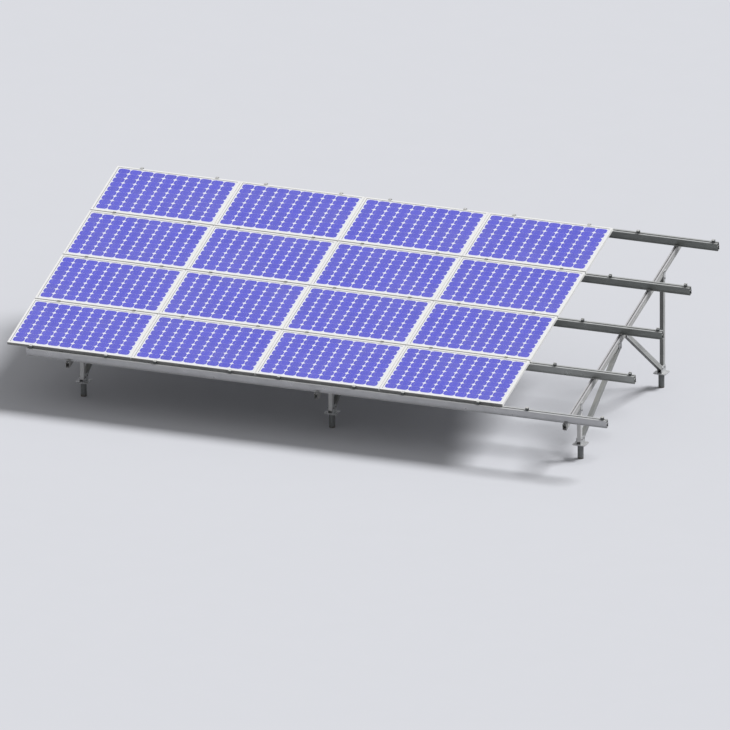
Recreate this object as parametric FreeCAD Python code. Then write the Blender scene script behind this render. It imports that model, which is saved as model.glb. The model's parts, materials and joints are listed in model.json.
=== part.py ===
import FreeCAD, Part
import math
import os

os.makedirs("parts", exist_ok=True)

V = FreeCAD.Vector

# Table layout, in table axes: u across the table, v up the slope, w square to the modules.
# w is zero at the top face of the module frames.
TILT = 15.0
LOW_EDGE_HEIGHT = 787.0
MODULE_LENGTH = 1640.0
MODULE_WIDTH = 992.0
COLUMN_GAP = 10.0
ROW_GAP = 20.0
MODULE_COLUMNS = 4
CLAMPED_COLUMNS = 5
MODULE_ROWS = 4

# Module frame profile and laminate.
FRAME_HEIGHT = 35.0
FRAME_WALL = 2.0
FRAME_LIP = 26.0
FRAME_SHELF = 11.0
FRAME_FLANGE = 30.0
MITRE_DEPTH = 40.0
LAMINATE_THICKNESS = 6.0
LAMINATE_SIDE_CLEARANCE = 1.0

# Mounting slots in the bottom flange of the long frame bars.
MOUNT_SLOT_WIDTH = 9.0
MOUNT_SLOT_LENGTH = 14.0
MOUNT_SLOT_FROM_END = 150.0
MOUNT_SLOT_STEP = 200.0

# Junction box under each laminate.
BOX_LENGTH = 120.0
BOX_WIDTH = 100.0
BOX_BASE_HEIGHT = 15.0
BOX_LID_HEIGHT = 6.0
BOX_LID_MARGIN = 7.0
BOX_END_OFFSET = 115.0
BOX_GLAND_RADIUS = 6.5
BOX_GLAND_LENGTH = 16.0
BOX_GLAND_SPACING = 50.0

# Rails: hollow extrusion with a slot in the top and a foot flange.
RAIL_END_MARGIN = 60.0
RAIL_WIDTH = 60.0
RAIL_HEIGHT = 105.0
RAIL_WALL = 2.5
RAIL_BODY_DEPTH = 72.0
RAIL_WAIST = 44.0
RAIL_WAIST_SLOPE = 8.0
RAIL_FOOT_THICKNESS = 6.0
RAIL_FLOOR_THICKNESS = 3.0
RAIL_MID_WEB_DEPTH = 46.0
RAIL_SLOT_MOUTH = 14.0
RAIL_SLOT_WIDTH = 28.0
RAIL_SLOT_LIP = 3.5
RAIL_SLOT_DEPTH = 14.0
RAIL_TOP_THICKNESS = 3.0

# Beams: hollow extrusion with a slot in the top and a groove in each side.
BEAM_INSET = 555.0
BEAM_HEIGHT = 80.0
BEAM_WALL = 3.0
BEAM_OVERHANG = 80.0
BEAM_SLOT_MOUTH = 14.0
BEAM_SLOT_WIDTH = 26.0
BEAM_SLOT_LIP = 3.0
BEAM_SLOT_DEPTH = 12.0
BEAM_SLOT_WALL = 2.5
BEAM_GROOVE_DEPTH = 2.5
BEAM_GROOVE_MOUTH = 8.0
BEAM_GROOVE_FLOOR = 4.0

# Module clamps.
CLAMP_END_DISTANCE = 320.0
CLAMP_LENGTH = 40.0
CLAMP_WALL = 3.0
CLAMP_TOP = 4.0
CLAMP_REACH = 9.0
CLAMP_SIDE_CLEARANCE = 0.3
END_CLAMP_DEPTH = 27.0
CLAMP_HOLE_RADIUS = 4.5

# Cleats that hold the rail foot down on the beam.
CLEAT_LENGTH = 40.0
CLEAT_REACH = 7.0
CLEAT_LIP = 6.0
CLEAT_BODY = 24.0
CLEAT_CLEARANCE = 0.3
CLEAT_HOLE_RADIUS = 4.5

# Legs and braces: one rectangular tube section.
TUBE_WIDTH = 50.0
TUBE_DEPTH = 60.0
TUBE_WALL = 3.0
LEG_OFFSET = 35.0
BRACE_END = 20.0
BRACE_FOOT_END = 30.0
BRACE_FOOT_OFFSET = 40.0
BRACE_HEAD_OFFSET = 140.0
BRACE_HEAD_DROP = 35.0
BOLT_HOLE_RADIUS = 6.5

# Ground screws, set in from the low and high edges of the table, and the brackets on them.
FRONT_SCREW_INSET = 540.0
REAR_SCREW_INSET = 504.0
SCREW_RADIUS = 38.0
SCREW_WALL = 3.6
FLANGE_SIDE = 170.0
FLANGE_THICKNESS = 10.0
FLANGE_TOP = 200.0
FLANGE_CHAMFER = 18.0
FOOT_LENGTH = 150.0
FOOT_HEIGHT = 95.0
FOOT_CHAMFER = 22.0
FOOT_BOLT_HEIGHT = 62.0
FOOT_ANCHOR_OFFSET = 55.0
LEG_FOOT_GAP = 30.0
PLATE = 5.0

# Brackets between the tubes and the beam.
HEAD_RISE = 58.0
HEAD_DROP = 78.0
HEAD_LEG_BOLT_DROP = 45.0
BRACE_PLATE_HALF = 45.0
BRACE_PLATE_DROP = 62.0

# Derived positions on the table.
TABLE_WIDTH = CLAMPED_COLUMNS * MODULE_LENGTH + (CLAMPED_COLUMNS - 1) * COLUMN_GAP
TABLE_HEIGHT = MODULE_ROWS * MODULE_WIDTH + (MODULE_ROWS - 1) * ROW_GAP
TABLE_MID_U = TABLE_WIDTH / 2
RAIL_LENGTH = TABLE_WIDTH - 2 * (CLAMP_END_DISTANCE - RAIL_END_MARGIN)
BEAM_SPACING = RAIL_LENGTH / 2 - BEAM_INSET
TABLE_MID_V = TABLE_HEIGHT / 2
RAIL_PITCH = MODULE_WIDTH + ROW_GAP
RAIL_TOP = -FRAME_HEIGHT
BEAM_TOP = RAIL_TOP - RAIL_HEIGHT
BEAM_WIDTH = TUBE_WIDTH  # one width, so that flat plates lie on both
BEAM_BOTTOM = BEAM_TOP - BEAM_HEIGHT
BEAM_MIDDLE = BEAM_TOP - BEAM_HEIGHT / 2
BEAM_LOW_END = -BEAM_OVERHANG
BEAM_LENGTH = TABLE_HEIGHT + 2 * BEAM_OVERHANG
SLOPE = math.radians(TILT)
SIN = math.sin(SLOPE)
COS = math.cos(SLOPE)
FRONT_LIMIT = BEAM_LOW_END * COS - BEAM_TOP * SIN
REAR_LIMIT = (BEAM_LOW_END + BEAM_LENGTH) * COS - BEAM_BOTTOM * SIN
MIDDLE_Y = (FRONT_LIMIT + REAR_LIMIT) / 2
LEFT_LIMIT = 0.0
RIGHT_LIMIT = TABLE_MID_U + RAIL_LENGTH / 2
MIDDLE_U = (LEFT_LIMIT + RIGHT_LIMIT) / 2
REAR_SCREW_Y = TABLE_HEIGHT * COS - REAR_SCREW_INSET
TABLE = FreeCAD.Placement(
    V(-MIDDLE_U, -MIDDLE_Y, LOW_EDGE_HEIGHT),
    FreeCAD.Rotation(V(1, 0, 0), TILT),
)


def face_of(points):
    return Part.Face(Part.makePolygon([*points, points[0]]))


def along_x(outline, start, length):
    return face_of([V(start, a, b) for a, b in outline]).extrude(V(length, 0, 0))


def along_y(outline, start, length):
    return face_of([V(a, start, b) for a, b in outline]).extrude(V(0, length, 0))


def along_z(outline, start, length):
    return face_of([V(a, b, start) for a, b in outline]).extrude(V(0, 0, length))


def both_sides(half_outline):
    # Closes a half outline with its mirror image across the first axis.
    return half_outline + [(-a, b) for a, b in reversed(half_outline)]


def hole_x(y, z, radius, start, length):
    return Part.makeCylinder(radius, length, V(start, y, z), V(1, 0, 0))


def hole_z(x, y, radius, start, length):
    return Part.makeCylinder(radius, length, V(x, y, start), V(0, 0, 1))


def on_table(shapes):
    group = Part.makeCompound(shapes)
    group.Placement = TABLE
    return group


def save(name, shape):
    shape.exportStep("parts/" + name + ".step")


def ground_y(v, w):
    return v * COS - w * SIN - MIDDLE_Y


def ground_z(v, w):
    return v * SIN + w * COS + LOW_EDGE_HEIGHT


def slope_v(y, w):
    # Place up the slope where the plane w passes over a ground position y.
    return (y + MIDDLE_Y + w * SIN) / COS


def underside_z(y):
    # Height of the beam underside above a ground position y.
    return ground_z(slope_v(y, BEAM_BOTTOM), BEAM_BOTTOM)


def flange_slot(x):
    # Round-ended slot through the bottom flange of a frame bar, along the bar.
    y = (FRAME_WALL + FRAME_FLANGE) / 2
    radius = MOUNT_SLOT_WIDTH / 2
    reach = MOUNT_SLOT_LENGTH / 2 - radius
    corner = V(x - reach, y - radius, -FRAME_HEIGHT)
    slot = Part.makeBox(2 * reach, MOUNT_SLOT_WIDTH, FRAME_WALL, corner)
    for end in (x - reach, x + reach):
        slot = slot.fuse(hole_z(end, y, radius, -FRAME_HEIGHT, FRAME_WALL))
    return slot


def frame_bar(length):
    # One bar of a module frame: lip, laminate groove, outer wall and bottom flange.
    shelf = -FRAME_WALL - LAMINATE_THICKNESS
    profile = [
        (0, 0),
        (FRAME_LIP, 0),
        (FRAME_LIP, -FRAME_WALL),
        (FRAME_WALL, -FRAME_WALL),
        (FRAME_WALL, shelf),
        (FRAME_SHELF, shelf),
        (FRAME_SHELF, shelf - FRAME_WALL),
        (FRAME_WALL, shelf - FRAME_WALL),
        (FRAME_WALL, -FRAME_HEIGHT + FRAME_WALL),
        (FRAME_FLANGE, -FRAME_HEIGHT + FRAME_WALL),
        (FRAME_FLANGE, -FRAME_HEIGHT),
        (0, -FRAME_HEIGHT),
    ]
    mitred = [(0, 0), (length, 0), (length - MITRE_DEPTH, MITRE_DEPTH), (MITRE_DEPTH, MITRE_DEPTH)]
    bar = along_x(profile, 0, length)
    return bar.common(along_z(mitred, -FRAME_HEIGHT, FRAME_HEIGHT))


def placed(shape, x, y, turn):
    moved = shape.copy()
    moved.Placement = FreeCAD.Placement(V(x, y, 0), FreeCAD.Rotation(V(0, 0, 1), turn))
    return moved


def module_frame(u, v):
    long_bar = frame_bar(MODULE_LENGTH)
    for from_end in (MOUNT_SLOT_FROM_END, MOUNT_SLOT_FROM_END + MOUNT_SLOT_STEP):
        for x in (from_end, MODULE_LENGTH - from_end):
            long_bar = long_bar.cut(flange_slot(x))
    short_bar = frame_bar(MODULE_WIDTH)
    return [
        placed(long_bar, u, v, 0),
        placed(short_bar, u + MODULE_LENGTH, v, 90),
        placed(long_bar, u + MODULE_LENGTH, v + MODULE_WIDTH, 180),
        placed(short_bar, u, v + MODULE_WIDTH, 270),
    ]


def laminate(u, v):
    inset = FRAME_WALL + LAMINATE_SIDE_CLEARANCE
    return Part.makeBox(
        MODULE_LENGTH - 2 * inset,
        MODULE_WIDTH - 2 * inset,
        LAMINATE_THICKNESS,
        V(u + inset, v + inset, -FRAME_WALL - LAMINATE_THICKNESS),
    )


def junction_box(u, v):
    top = -FRAME_WALL - LAMINATE_THICKNESS
    mid_u = u + MODULE_LENGTH - BOX_END_OFFSET
    mid_v = v + MODULE_WIDTH / 2
    base = Part.makeBox(
        BOX_LENGTH,
        BOX_WIDTH,
        BOX_BASE_HEIGHT,
        V(mid_u - BOX_LENGTH / 2, mid_v - BOX_WIDTH / 2, top - BOX_BASE_HEIGHT),
    )
    lid = Part.makeBox(
        BOX_LENGTH - 2 * BOX_LID_MARGIN,
        BOX_WIDTH - 2 * BOX_LID_MARGIN,
        BOX_LID_HEIGHT,
        V(
            mid_u - BOX_LENGTH / 2 + BOX_LID_MARGIN,
            mid_v - BOX_WIDTH / 2 + BOX_LID_MARGIN,
            top - BOX_BASE_HEIGHT - BOX_LID_HEIGHT,
        ),
    )
    box = base.fuse(lid)
    for side in (-1, 1):
        gland = Part.makeCylinder(
            BOX_GLAND_RADIUS,
            BOX_GLAND_LENGTH,
            V(
                mid_u + side * BOX_GLAND_SPACING / 2,
                mid_v - BOX_WIDTH / 2 - BOX_GLAND_LENGTH,
                top - BOX_BASE_HEIGHT / 2,
            ),
            V(0, 1, 0),
        )
        box = box.fuse(gland)
    return box.removeSplitter()


def rail(v):
    half = RAIL_WIDTH / 2
    waist = RAIL_WAIST / 2
    mouth = RAIL_SLOT_MOUTH / 2
    slot = RAIL_SLOT_WIDTH / 2
    foot = -RAIL_HEIGHT + RAIL_FOOT_THICKNESS
    slot_wall = slot + RAIL_WALL
    inner = half - RAIL_WALL
    web_top = -RAIL_MID_WEB_DEPTH + RAIL_WALL / 2
    web_bottom = -RAIL_MID_WEB_DEPTH - RAIL_WALL / 2
    outer = both_sides([
        (slot, -RAIL_SLOT_DEPTH),
        (slot, -RAIL_SLOT_LIP),
        (mouth, -RAIL_SLOT_LIP),
        (mouth, 0),
        (half, 0),
        (half, -RAIL_BODY_DEPTH),
        (waist, -RAIL_BODY_DEPTH - RAIL_WAIST_SLOPE),
        (waist, foot),
        (half, foot),
        (half, -RAIL_HEIGHT),
    ])
    upper = both_sides([
        (slot_wall, -RAIL_SLOT_DEPTH - RAIL_WALL),
        (slot_wall, -RAIL_TOP_THICKNESS),
        (inner, -RAIL_TOP_THICKNESS),
        (inner, web_top),
    ])
    lower = both_sides([
        (inner, web_bottom),
        (inner, -RAIL_BODY_DEPTH + RAIL_WALL / 2),
        (waist - RAIL_WALL, -RAIL_BODY_DEPTH - RAIL_WAIST_SLOPE + RAIL_WALL / 2),
        (waist - RAIL_WALL, -RAIL_HEIGHT + RAIL_FLOOR_THICKNESS),
    ])
    start = TABLE_MID_U - RAIL_LENGTH / 2
    body = along_x(outer, start, RAIL_LENGTH)
    body = body.cut(along_x(upper, start, RAIL_LENGTH))
    body = body.cut(along_x(lower, start, RAIL_LENGTH))
    body.translate(V(0, v, RAIL_TOP))
    return body


def beam(u, bolt_places):
    half = BEAM_WIDTH / 2
    mouth = BEAM_SLOT_MOUTH / 2
    slot = BEAM_SLOT_WIDTH / 2
    middle = -BEAM_HEIGHT / 2
    slot_wall = slot + BEAM_SLOT_WALL
    inner = half - BEAM_WALL
    outer = both_sides([
        (slot, -BEAM_SLOT_DEPTH),
        (slot, -BEAM_SLOT_LIP),
        (mouth, -BEAM_SLOT_LIP),
        (mouth, 0),
        (half, 0),
        (half, middle + BEAM_GROOVE_MOUTH / 2),
        (half - BEAM_GROOVE_DEPTH, middle + BEAM_GROOVE_FLOOR / 2),
        (half - BEAM_GROOVE_DEPTH, middle - BEAM_GROOVE_FLOOR / 2),
        (half, middle - BEAM_GROOVE_MOUTH / 2),
        (half, -BEAM_HEIGHT),
    ])
    hollow = both_sides([
        (slot_wall, -BEAM_SLOT_DEPTH - BEAM_SLOT_WALL),
        (slot_wall, -BEAM_WALL),
        (inner, -BEAM_WALL),
        (inner, middle + BEAM_GROOVE_MOUTH / 2 + BEAM_WALL / 2),
        (inner - BEAM_GROOVE_DEPTH, middle + BEAM_GROOVE_FLOOR / 2 + BEAM_WALL / 2),
        (inner - BEAM_GROOVE_DEPTH, middle - BEAM_GROOVE_FLOOR / 2 - BEAM_WALL / 2),
        (inner, middle - BEAM_GROOVE_MOUTH / 2 - BEAM_WALL / 2),
        (inner, -BEAM_HEIGHT + BEAM_WALL),
    ])
    body = along_y(outer, BEAM_LOW_END, BEAM_LENGTH)
    body = body.cut(along_y(hollow, BEAM_LOW_END, BEAM_LENGTH))
    body.translate(V(u, 0, BEAM_TOP))
    for v in bolt_places:
        body = body.cut(hole_x(v, BEAM_MIDDLE, BOLT_HOLE_RADIUS, u - half, BEAM_WIDTH))
    return body


def mid_clamp(u, v):
    # Hat profile: a channel in the gap between two rows, with a lip over each frame.
    outside = ROW_GAP / 2 - CLAMP_SIDE_CLEARANCE
    inside = outside - CLAMP_WALL
    lip = ROW_GAP / 2 + CLAMP_REACH
    floor = RAIL_TOP + CLAMP_WALL
    profile = both_sides([
        (inside, floor),
        (inside, CLAMP_TOP),
        (lip, CLAMP_TOP),
        (lip, 0),
        (outside, 0),
        (outside, RAIL_TOP),
    ])
    clamp = along_x(profile, -CLAMP_LENGTH / 2, CLAMP_LENGTH)
    clamp = clamp.cut(hole_z(0, 0, CLAMP_HOLE_RADIUS, RAIL_TOP, CLAMP_WALL))
    clamp.translate(V(u, v, 0))
    return clamp


def end_clamp(u, v, side):
    # Inverted channel beside the frame edge, with a lip over it; side is -1 low, +1 high.
    inner = CLAMP_SIDE_CLEARANCE
    outer = END_CLAMP_DEPTH
    profile = [
        (-CLAMP_REACH, CLAMP_TOP),
        (outer, CLAMP_TOP),
        (outer, RAIL_TOP),
        (outer - CLAMP_WALL, RAIL_TOP),
        (outer - CLAMP_WALL, 0),
        (inner + CLAMP_WALL, 0),
        (inner + CLAMP_WALL, RAIL_TOP),
        (inner, RAIL_TOP),
        (inner, 0),
        (-CLAMP_REACH, 0),
    ]
    profile = [(side * a, b) for a, b in profile]
    clamp = along_x(profile, -CLAMP_LENGTH / 2, CLAMP_LENGTH)
    middle = side * (inner + outer) / 2
    clamp = clamp.cut(hole_z(0, middle, CLAMP_HOLE_RADIUS, 0, CLAMP_TOP))
    clamp.translate(V(u, v, 0))
    return clamp


def rail_cleat(u, v, side):
    # Stepped block on the beam that laps over the rail foot.
    half = RAIL_WIDTH / 2
    seat = BEAM_TOP + RAIL_FOOT_THICKNESS
    profile = [
        (half + CLEAT_CLEARANCE, BEAM_TOP),
        (half + CLEAT_BODY, BEAM_TOP),
        (half + CLEAT_BODY, seat + CLEAT_LIP),
        (half - CLEAT_REACH, seat + CLEAT_LIP),
        (half - CLEAT_REACH, seat),
        (half + CLEAT_CLEARANCE, seat),
    ]
    profile = [(side * a, b) for a, b in profile]
    cleat = along_x(profile, -CLEAT_LENGTH / 2, CLEAT_LENGTH)
    middle = side * (half + CLEAT_BODY / 2)
    tall = RAIL_FOOT_THICKNESS + CLEAT_LIP
    cleat = cleat.cut(hole_z(0, middle, CLEAT_HOLE_RADIUS, BEAM_TOP, tall))
    cleat.translate(V(u, v, 0))
    return cleat


def tube_along_y(start, length):
    outer = Part.makeBox(TUBE_WIDTH, length, TUBE_DEPTH, V(-TUBE_WIDTH / 2, start, -TUBE_DEPTH / 2))
    bore = Part.makeBox(
        TUBE_WIDTH - 2 * TUBE_WALL,
        length,
        TUBE_DEPTH - 2 * TUBE_WALL,
        V(-TUBE_WIDTH / 2 + TUBE_WALL, start, -TUBE_DEPTH / 2 + TUBE_WALL),
    )
    return outer.cut(bore)


def through_hole(y, z):
    return hole_x(y, z, BOLT_HOLE_RADIUS, -BEAM_WIDTH, 2 * BEAM_WIDTH)


def leg(x, y, foot_y):
    # Upright tube whose top is cut to the slope and bears on the beam underside.
    low = FLANGE_TOP + PLATE + LEG_FOOT_GAP
    half = TUBE_DEPTH / 2
    slope_outline = [
        (y - half, low),
        (y + half, low),
        (y + half, underside_z(y + half)),
        (y - half, underside_z(y - half)),
    ]
    bore_half = half - TUBE_WALL
    bore_outline = [
        (y - bore_half, low),
        (y + bore_half, low),
        (y + bore_half, underside_z(y + bore_half)),
        (y - bore_half, underside_z(y - bore_half)),
    ]
    body = along_x(slope_outline, -TUBE_WIDTH / 2, TUBE_WIDTH)
    bore = along_x(bore_outline, -TUBE_WIDTH / 2 + TUBE_WALL, TUBE_WIDTH - 2 * TUBE_WALL)
    body = body.cut(bore)
    body = body.cut(through_hole(foot_y, FLANGE_TOP + FOOT_BOLT_HEIGHT))
    body = body.cut(through_hole(y, underside_z(y) - HEAD_LEG_BOLT_DROP))
    body.translate(V(x, 0, 0))
    return body


def brace(x, low_y, head_v):
    # Sloped tube from a foot bracket to a bracket under the beam, square at both ends.
    low_z = FLANGE_TOP + FOOT_BOLT_HEIGHT
    head_w = BEAM_BOTTOM - BRACE_HEAD_DROP
    rise = ground_z(head_v, head_w) - low_z
    run = ground_y(head_v, head_w) - low_y
    span = math.hypot(rise, run)
    body = tube_along_y(-BRACE_FOOT_END, span + BRACE_FOOT_END + BRACE_END)
    for y in (0, span):
        body = body.cut(through_hole(y, 0))
    angle = math.degrees(math.atan2(rise, run))
    body.Placement = FreeCAD.Placement(V(x, low_y, low_z), FreeCAD.Rotation(V(1, 0, 0), angle))
    return body


def ground_screw(x, y):
    # Round tube standing on the ground line, with a square flange welded on top.
    tube_height = FLANGE_TOP - FLANGE_THICKNESS
    tube = Part.makeCylinder(SCREW_RADIUS, tube_height, V(x, y, 0))
    half = FLANGE_SIDE / 2
    edge = half - FLANGE_CHAMFER
    corners = [
        (edge, -half), (half, -edge), (half, edge), (edge, half),
        (-edge, half), (-half, edge), (-half, -edge), (-edge, -half),
    ]
    flange = along_z([(x + a, y + b) for a, b in corners], tube_height, FLANGE_THICKNESS)
    body = tube.fuse(flange)
    body = body.cut(Part.makeCylinder(SCREW_RADIUS - SCREW_WALL, tube_height, V(x, y, 0)))
    for side in (-1, 1):
        anchor_y = y + side * FOOT_ANCHOR_OFFSET
        body = body.cut(hole_z(x, anchor_y, BOLT_HOLE_RADIUS, tube_height, FLANGE_THICKNESS))
    return body


def foot_bracket(x, y, leg_y, brace_y):
    # Channel bolted on the flange; its cheeks hold the leg and the brace.
    half = FOOT_LENGTH / 2
    top = FLANGE_TOP + FOOT_HEIGHT
    width = TUBE_WIDTH + 2 * PLATE
    side_outline = [
        (y - half, FLANGE_TOP),
        (y + half, FLANGE_TOP),
        (y + half, top - FOOT_CHAMFER),
        (y + half - FOOT_CHAMFER, top),
        (y - half + FOOT_CHAMFER, top),
        (y - half, top - FOOT_CHAMFER),
    ]
    body = along_x(side_outline, -width / 2, width)
    body = body.cut(Part.makeBox(
        TUBE_WIDTH,
        FOOT_LENGTH,
        FOOT_HEIGHT - PLATE,
        V(-TUBE_WIDTH / 2, y - half, FLANGE_TOP + PLATE),
    ))
    for bolt_y in (leg_y, brace_y):
        body = body.cut(through_hole(bolt_y, FLANGE_TOP + FOOT_BOLT_HEIGHT))
    for side in (-1, 1):
        anchor_y = y + side * FOOT_ANCHOR_OFFSET
        body = body.cut(hole_z(0, anchor_y, BOLT_HOLE_RADIUS, FLANGE_TOP, PLATE))
    body.translate(V(x, 0, 0))
    return body


def cheek_pair(outline, bolts):
    # Two plates against the sides of the beam and of the tube under it.
    cheeks = []
    for start in (-BEAM_WIDTH / 2 - PLATE, BEAM_WIDTH / 2):
        cheek = along_x(outline, start, PLATE)
        for y, z in bolts:
            cheek = cheek.cut(hole_x(y, z, BOLT_HOLE_RADIUS, start, PLATE))
        cheeks.append(cheek)
    return cheeks


def leg_head(x, y):
    half = TUBE_DEPTH / 2
    centre = underside_z(y)
    rise = half * math.tan(SLOPE)
    outline = [
        (y - half, centre - HEAD_DROP),
        (y + half, centre - HEAD_DROP),
        (y + half, centre + HEAD_RISE + rise),
        (y - half, centre + HEAD_RISE - rise),
    ]
    bolts = [
        (y, centre - HEAD_LEG_BOLT_DROP),
        (y, centre + BEAM_HEIGHT / 2 / COS),
    ]
    cheeks = cheek_pair(outline, bolts)
    for cheek in cheeks:
        cheek.translate(V(x, 0, 0))
    return cheeks


def brace_head(u, v):
    # Plates square to the beam, holding the brace end under it.
    outline = [
        (v - BRACE_PLATE_HALF, BEAM_MIDDLE + BEAM_HEIGHT / 4),
        (v - BRACE_PLATE_HALF, BEAM_BOTTOM - BRACE_PLATE_DROP / 2),
        (v - BRACE_PLATE_HALF / 2, BEAM_BOTTOM - BRACE_PLATE_DROP),
        (v + BRACE_PLATE_HALF / 2, BEAM_BOTTOM - BRACE_PLATE_DROP),
        (v + BRACE_PLATE_HALF, BEAM_BOTTOM - BRACE_PLATE_DROP / 2),
        (v + BRACE_PLATE_HALF, BEAM_MIDDLE + BEAM_HEIGHT / 4),
    ]
    bolts = [
        (v, BEAM_BOTTOM - BRACE_HEAD_DROP),
        (v - BRACE_PLATE_HALF / 2, BEAM_MIDDLE),
        (v + BRACE_PLATE_HALF / 2, BEAM_MIDDLE),
    ]
    cheeks = cheek_pair(outline, bolts)
    for cheek in cheeks:
        cheek.translate(V(u, 0, 0))
        cheek.Placement = TABLE.multiply(cheek.Placement)
    return cheeks


# Modules, row by row from the low edge.
box_list = []
for row in range(MODULE_ROWS):
    row_v = row * RAIL_PITCH
    bars = []
    sheets = []
    for column in range(MODULE_COLUMNS):
        column_u = column * (MODULE_LENGTH + COLUMN_GAP)
        bars.extend(module_frame(column_u, row_v))
        sheets.append(laminate(column_u, row_v))
        box_list.append(junction_box(column_u, row_v))
    save("module_frames_row_%d" % (row + 1), on_table(bars))
    save("module_laminates_row_%d" % (row + 1), on_table(sheets))
save("junction_boxes", on_table(box_list))

# Rails and the clamps on them, also on the bay without modules.
rail_lines = [-ROW_GAP / 2 + index * RAIL_PITCH for index in range(MODULE_ROWS + 1)]
for index, line in enumerate(rail_lines):
    save("rail_%d" % (index + 1), on_table([rail(line)]))

clamp_places = []
for column in range(CLAMPED_COLUMNS):
    column_u = column * (MODULE_LENGTH + COLUMN_GAP)
    clamp_places.append(column_u + CLAMP_END_DISTANCE)
    clamp_places.append(column_u + MODULE_LENGTH - CLAMP_END_DISTANCE)
save("low_end_clamps", on_table([end_clamp(u, 0, -1) for u in clamp_places]))
save("high_end_clamps", on_table([end_clamp(u, TABLE_HEIGHT, 1) for u in clamp_places]))
save("mid_clamps", on_table([mid_clamp(u, line) for line in rail_lines[1:-1] for u in clamp_places]))

# Support frames: beam, legs, braces, ground screws and their brackets.
cleats = []
for name, offset in (("left", -BEAM_SPACING), ("middle", 0.0), ("right", BEAM_SPACING)):
    beam_u = TABLE_MID_U + offset
    beam_x = beam_u - MIDDLE_U
    for line in rail_lines:
        for side in (-1, 1):
            cleats.append(rail_cleat(beam_u, line, side))

    beam_bolts = []
    feet = []
    heads = []
    for end, screw_y, outward in (("front", FRONT_SCREW_INSET, -1), ("rear", REAR_SCREW_Y, 1)):
        foot_y = screw_y - MIDDLE_Y
        leg_y = foot_y + outward * LEG_OFFSET
        brace_y = foot_y - outward * BRACE_FOOT_OFFSET
        head_v = TABLE_MID_V + outward * BRACE_HEAD_OFFSET
        save("ground_screw_%s_%s" % (end, name), ground_screw(beam_x, foot_y))
        save("%s_leg_%s" % (end, name), leg(beam_x, leg_y, leg_y))
        save("%s_brace_%s" % (end, name), brace(beam_x, brace_y, head_v))
        feet.append(foot_bracket(beam_x, foot_y, leg_y, brace_y))
        heads.extend(leg_head(beam_x, leg_y))
        heads.extend(brace_head(beam_u, head_v))
        beam_bolts.append(slope_v(leg_y, BEAM_MIDDLE))
        beam_bolts.append(head_v - BRACE_PLATE_HALF / 2)
        beam_bolts.append(head_v + BRACE_PLATE_HALF / 2)
    save("beam_" + name, on_table([beam(beam_u, beam_bolts)]))
    save("foot_brackets_" + name, Part.makeCompound(feet))
    save("beam_brackets_" + name, Part.makeCompound(heads))
save("rail_cleats", on_table(cleats))
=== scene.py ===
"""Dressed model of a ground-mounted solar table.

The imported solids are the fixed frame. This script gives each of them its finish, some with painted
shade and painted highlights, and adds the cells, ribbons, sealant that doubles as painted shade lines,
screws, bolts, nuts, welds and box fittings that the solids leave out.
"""

from __future__ import annotations

import json
import logging
import math
import random
from collections.abc import Sequence
from dataclasses import dataclass, field, replace
from enum import Enum

import bmesh
import bpy
from mathutils import Matrix, Vector

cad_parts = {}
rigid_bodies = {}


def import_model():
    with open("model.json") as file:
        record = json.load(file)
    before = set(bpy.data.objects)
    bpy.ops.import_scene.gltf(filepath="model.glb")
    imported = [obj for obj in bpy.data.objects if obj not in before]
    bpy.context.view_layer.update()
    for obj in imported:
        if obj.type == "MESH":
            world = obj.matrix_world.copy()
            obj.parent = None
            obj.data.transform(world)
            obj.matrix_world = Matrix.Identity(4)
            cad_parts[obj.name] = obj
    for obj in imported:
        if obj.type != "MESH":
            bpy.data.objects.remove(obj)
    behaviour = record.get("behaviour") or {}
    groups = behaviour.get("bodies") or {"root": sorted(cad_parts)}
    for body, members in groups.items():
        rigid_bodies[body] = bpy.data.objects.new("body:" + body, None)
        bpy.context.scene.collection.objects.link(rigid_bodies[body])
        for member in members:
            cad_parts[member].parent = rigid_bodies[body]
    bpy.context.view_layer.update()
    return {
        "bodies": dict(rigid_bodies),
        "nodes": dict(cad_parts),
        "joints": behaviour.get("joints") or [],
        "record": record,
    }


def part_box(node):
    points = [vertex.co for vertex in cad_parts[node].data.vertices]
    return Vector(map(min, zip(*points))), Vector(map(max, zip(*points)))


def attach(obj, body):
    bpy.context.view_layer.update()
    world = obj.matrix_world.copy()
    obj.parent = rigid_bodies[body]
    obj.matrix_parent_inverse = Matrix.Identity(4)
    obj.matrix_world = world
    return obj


LOG = logging.getLogger("solar_table")
BODY = "root"
PHOTO_WIDTH = 730
SEED = 20
TABLE_TILT = math.radians(15.0)
ROWS = 4
RAILS = 5
SMOOTH_ANGLE = 35.0
WELD_SMOOTH_ANGLE = 60.0
SAME_POINT = 1e-6

Triple = tuple[float, float, float]
Colour = Triple
Fill = tuple[float, float, float, float]
Nodes = dict[str, bpy.types.Object]

DUST: Fill = (0.60, 0.57, 0.51, 1.0)
EARTH: Fill = (0.10, 0.075, 0.05, 1.0)


class Ring(Enum):
    """Outline of one ring of a turned or hexagonal piece."""

    ROUND = "round"
    HEX = "hex"


class Side(Enum):
    """Names of the three support frames, as the solids use them."""

    LEFT = "left"
    MIDDLE = "middle"
    RIGHT = "right"


class End(Enum):
    """Low and high side of a support frame, with the way that points outward."""

    FRONT = -1
    REAR = 1

    @property
    def word(self) -> str:
        """The name that the solids use for this end."""
        return self.name.lower()


# Places on the table


@dataclass(frozen=True)
class Slab:
    """Box of one loose solid, in table axes: u across, v up the slope, w square to it."""

    low: Vector
    high: Vector

    @property
    def middle(self) -> Vector:
        """Centre of the box."""
        return (self.low + self.high) / 2


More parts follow.
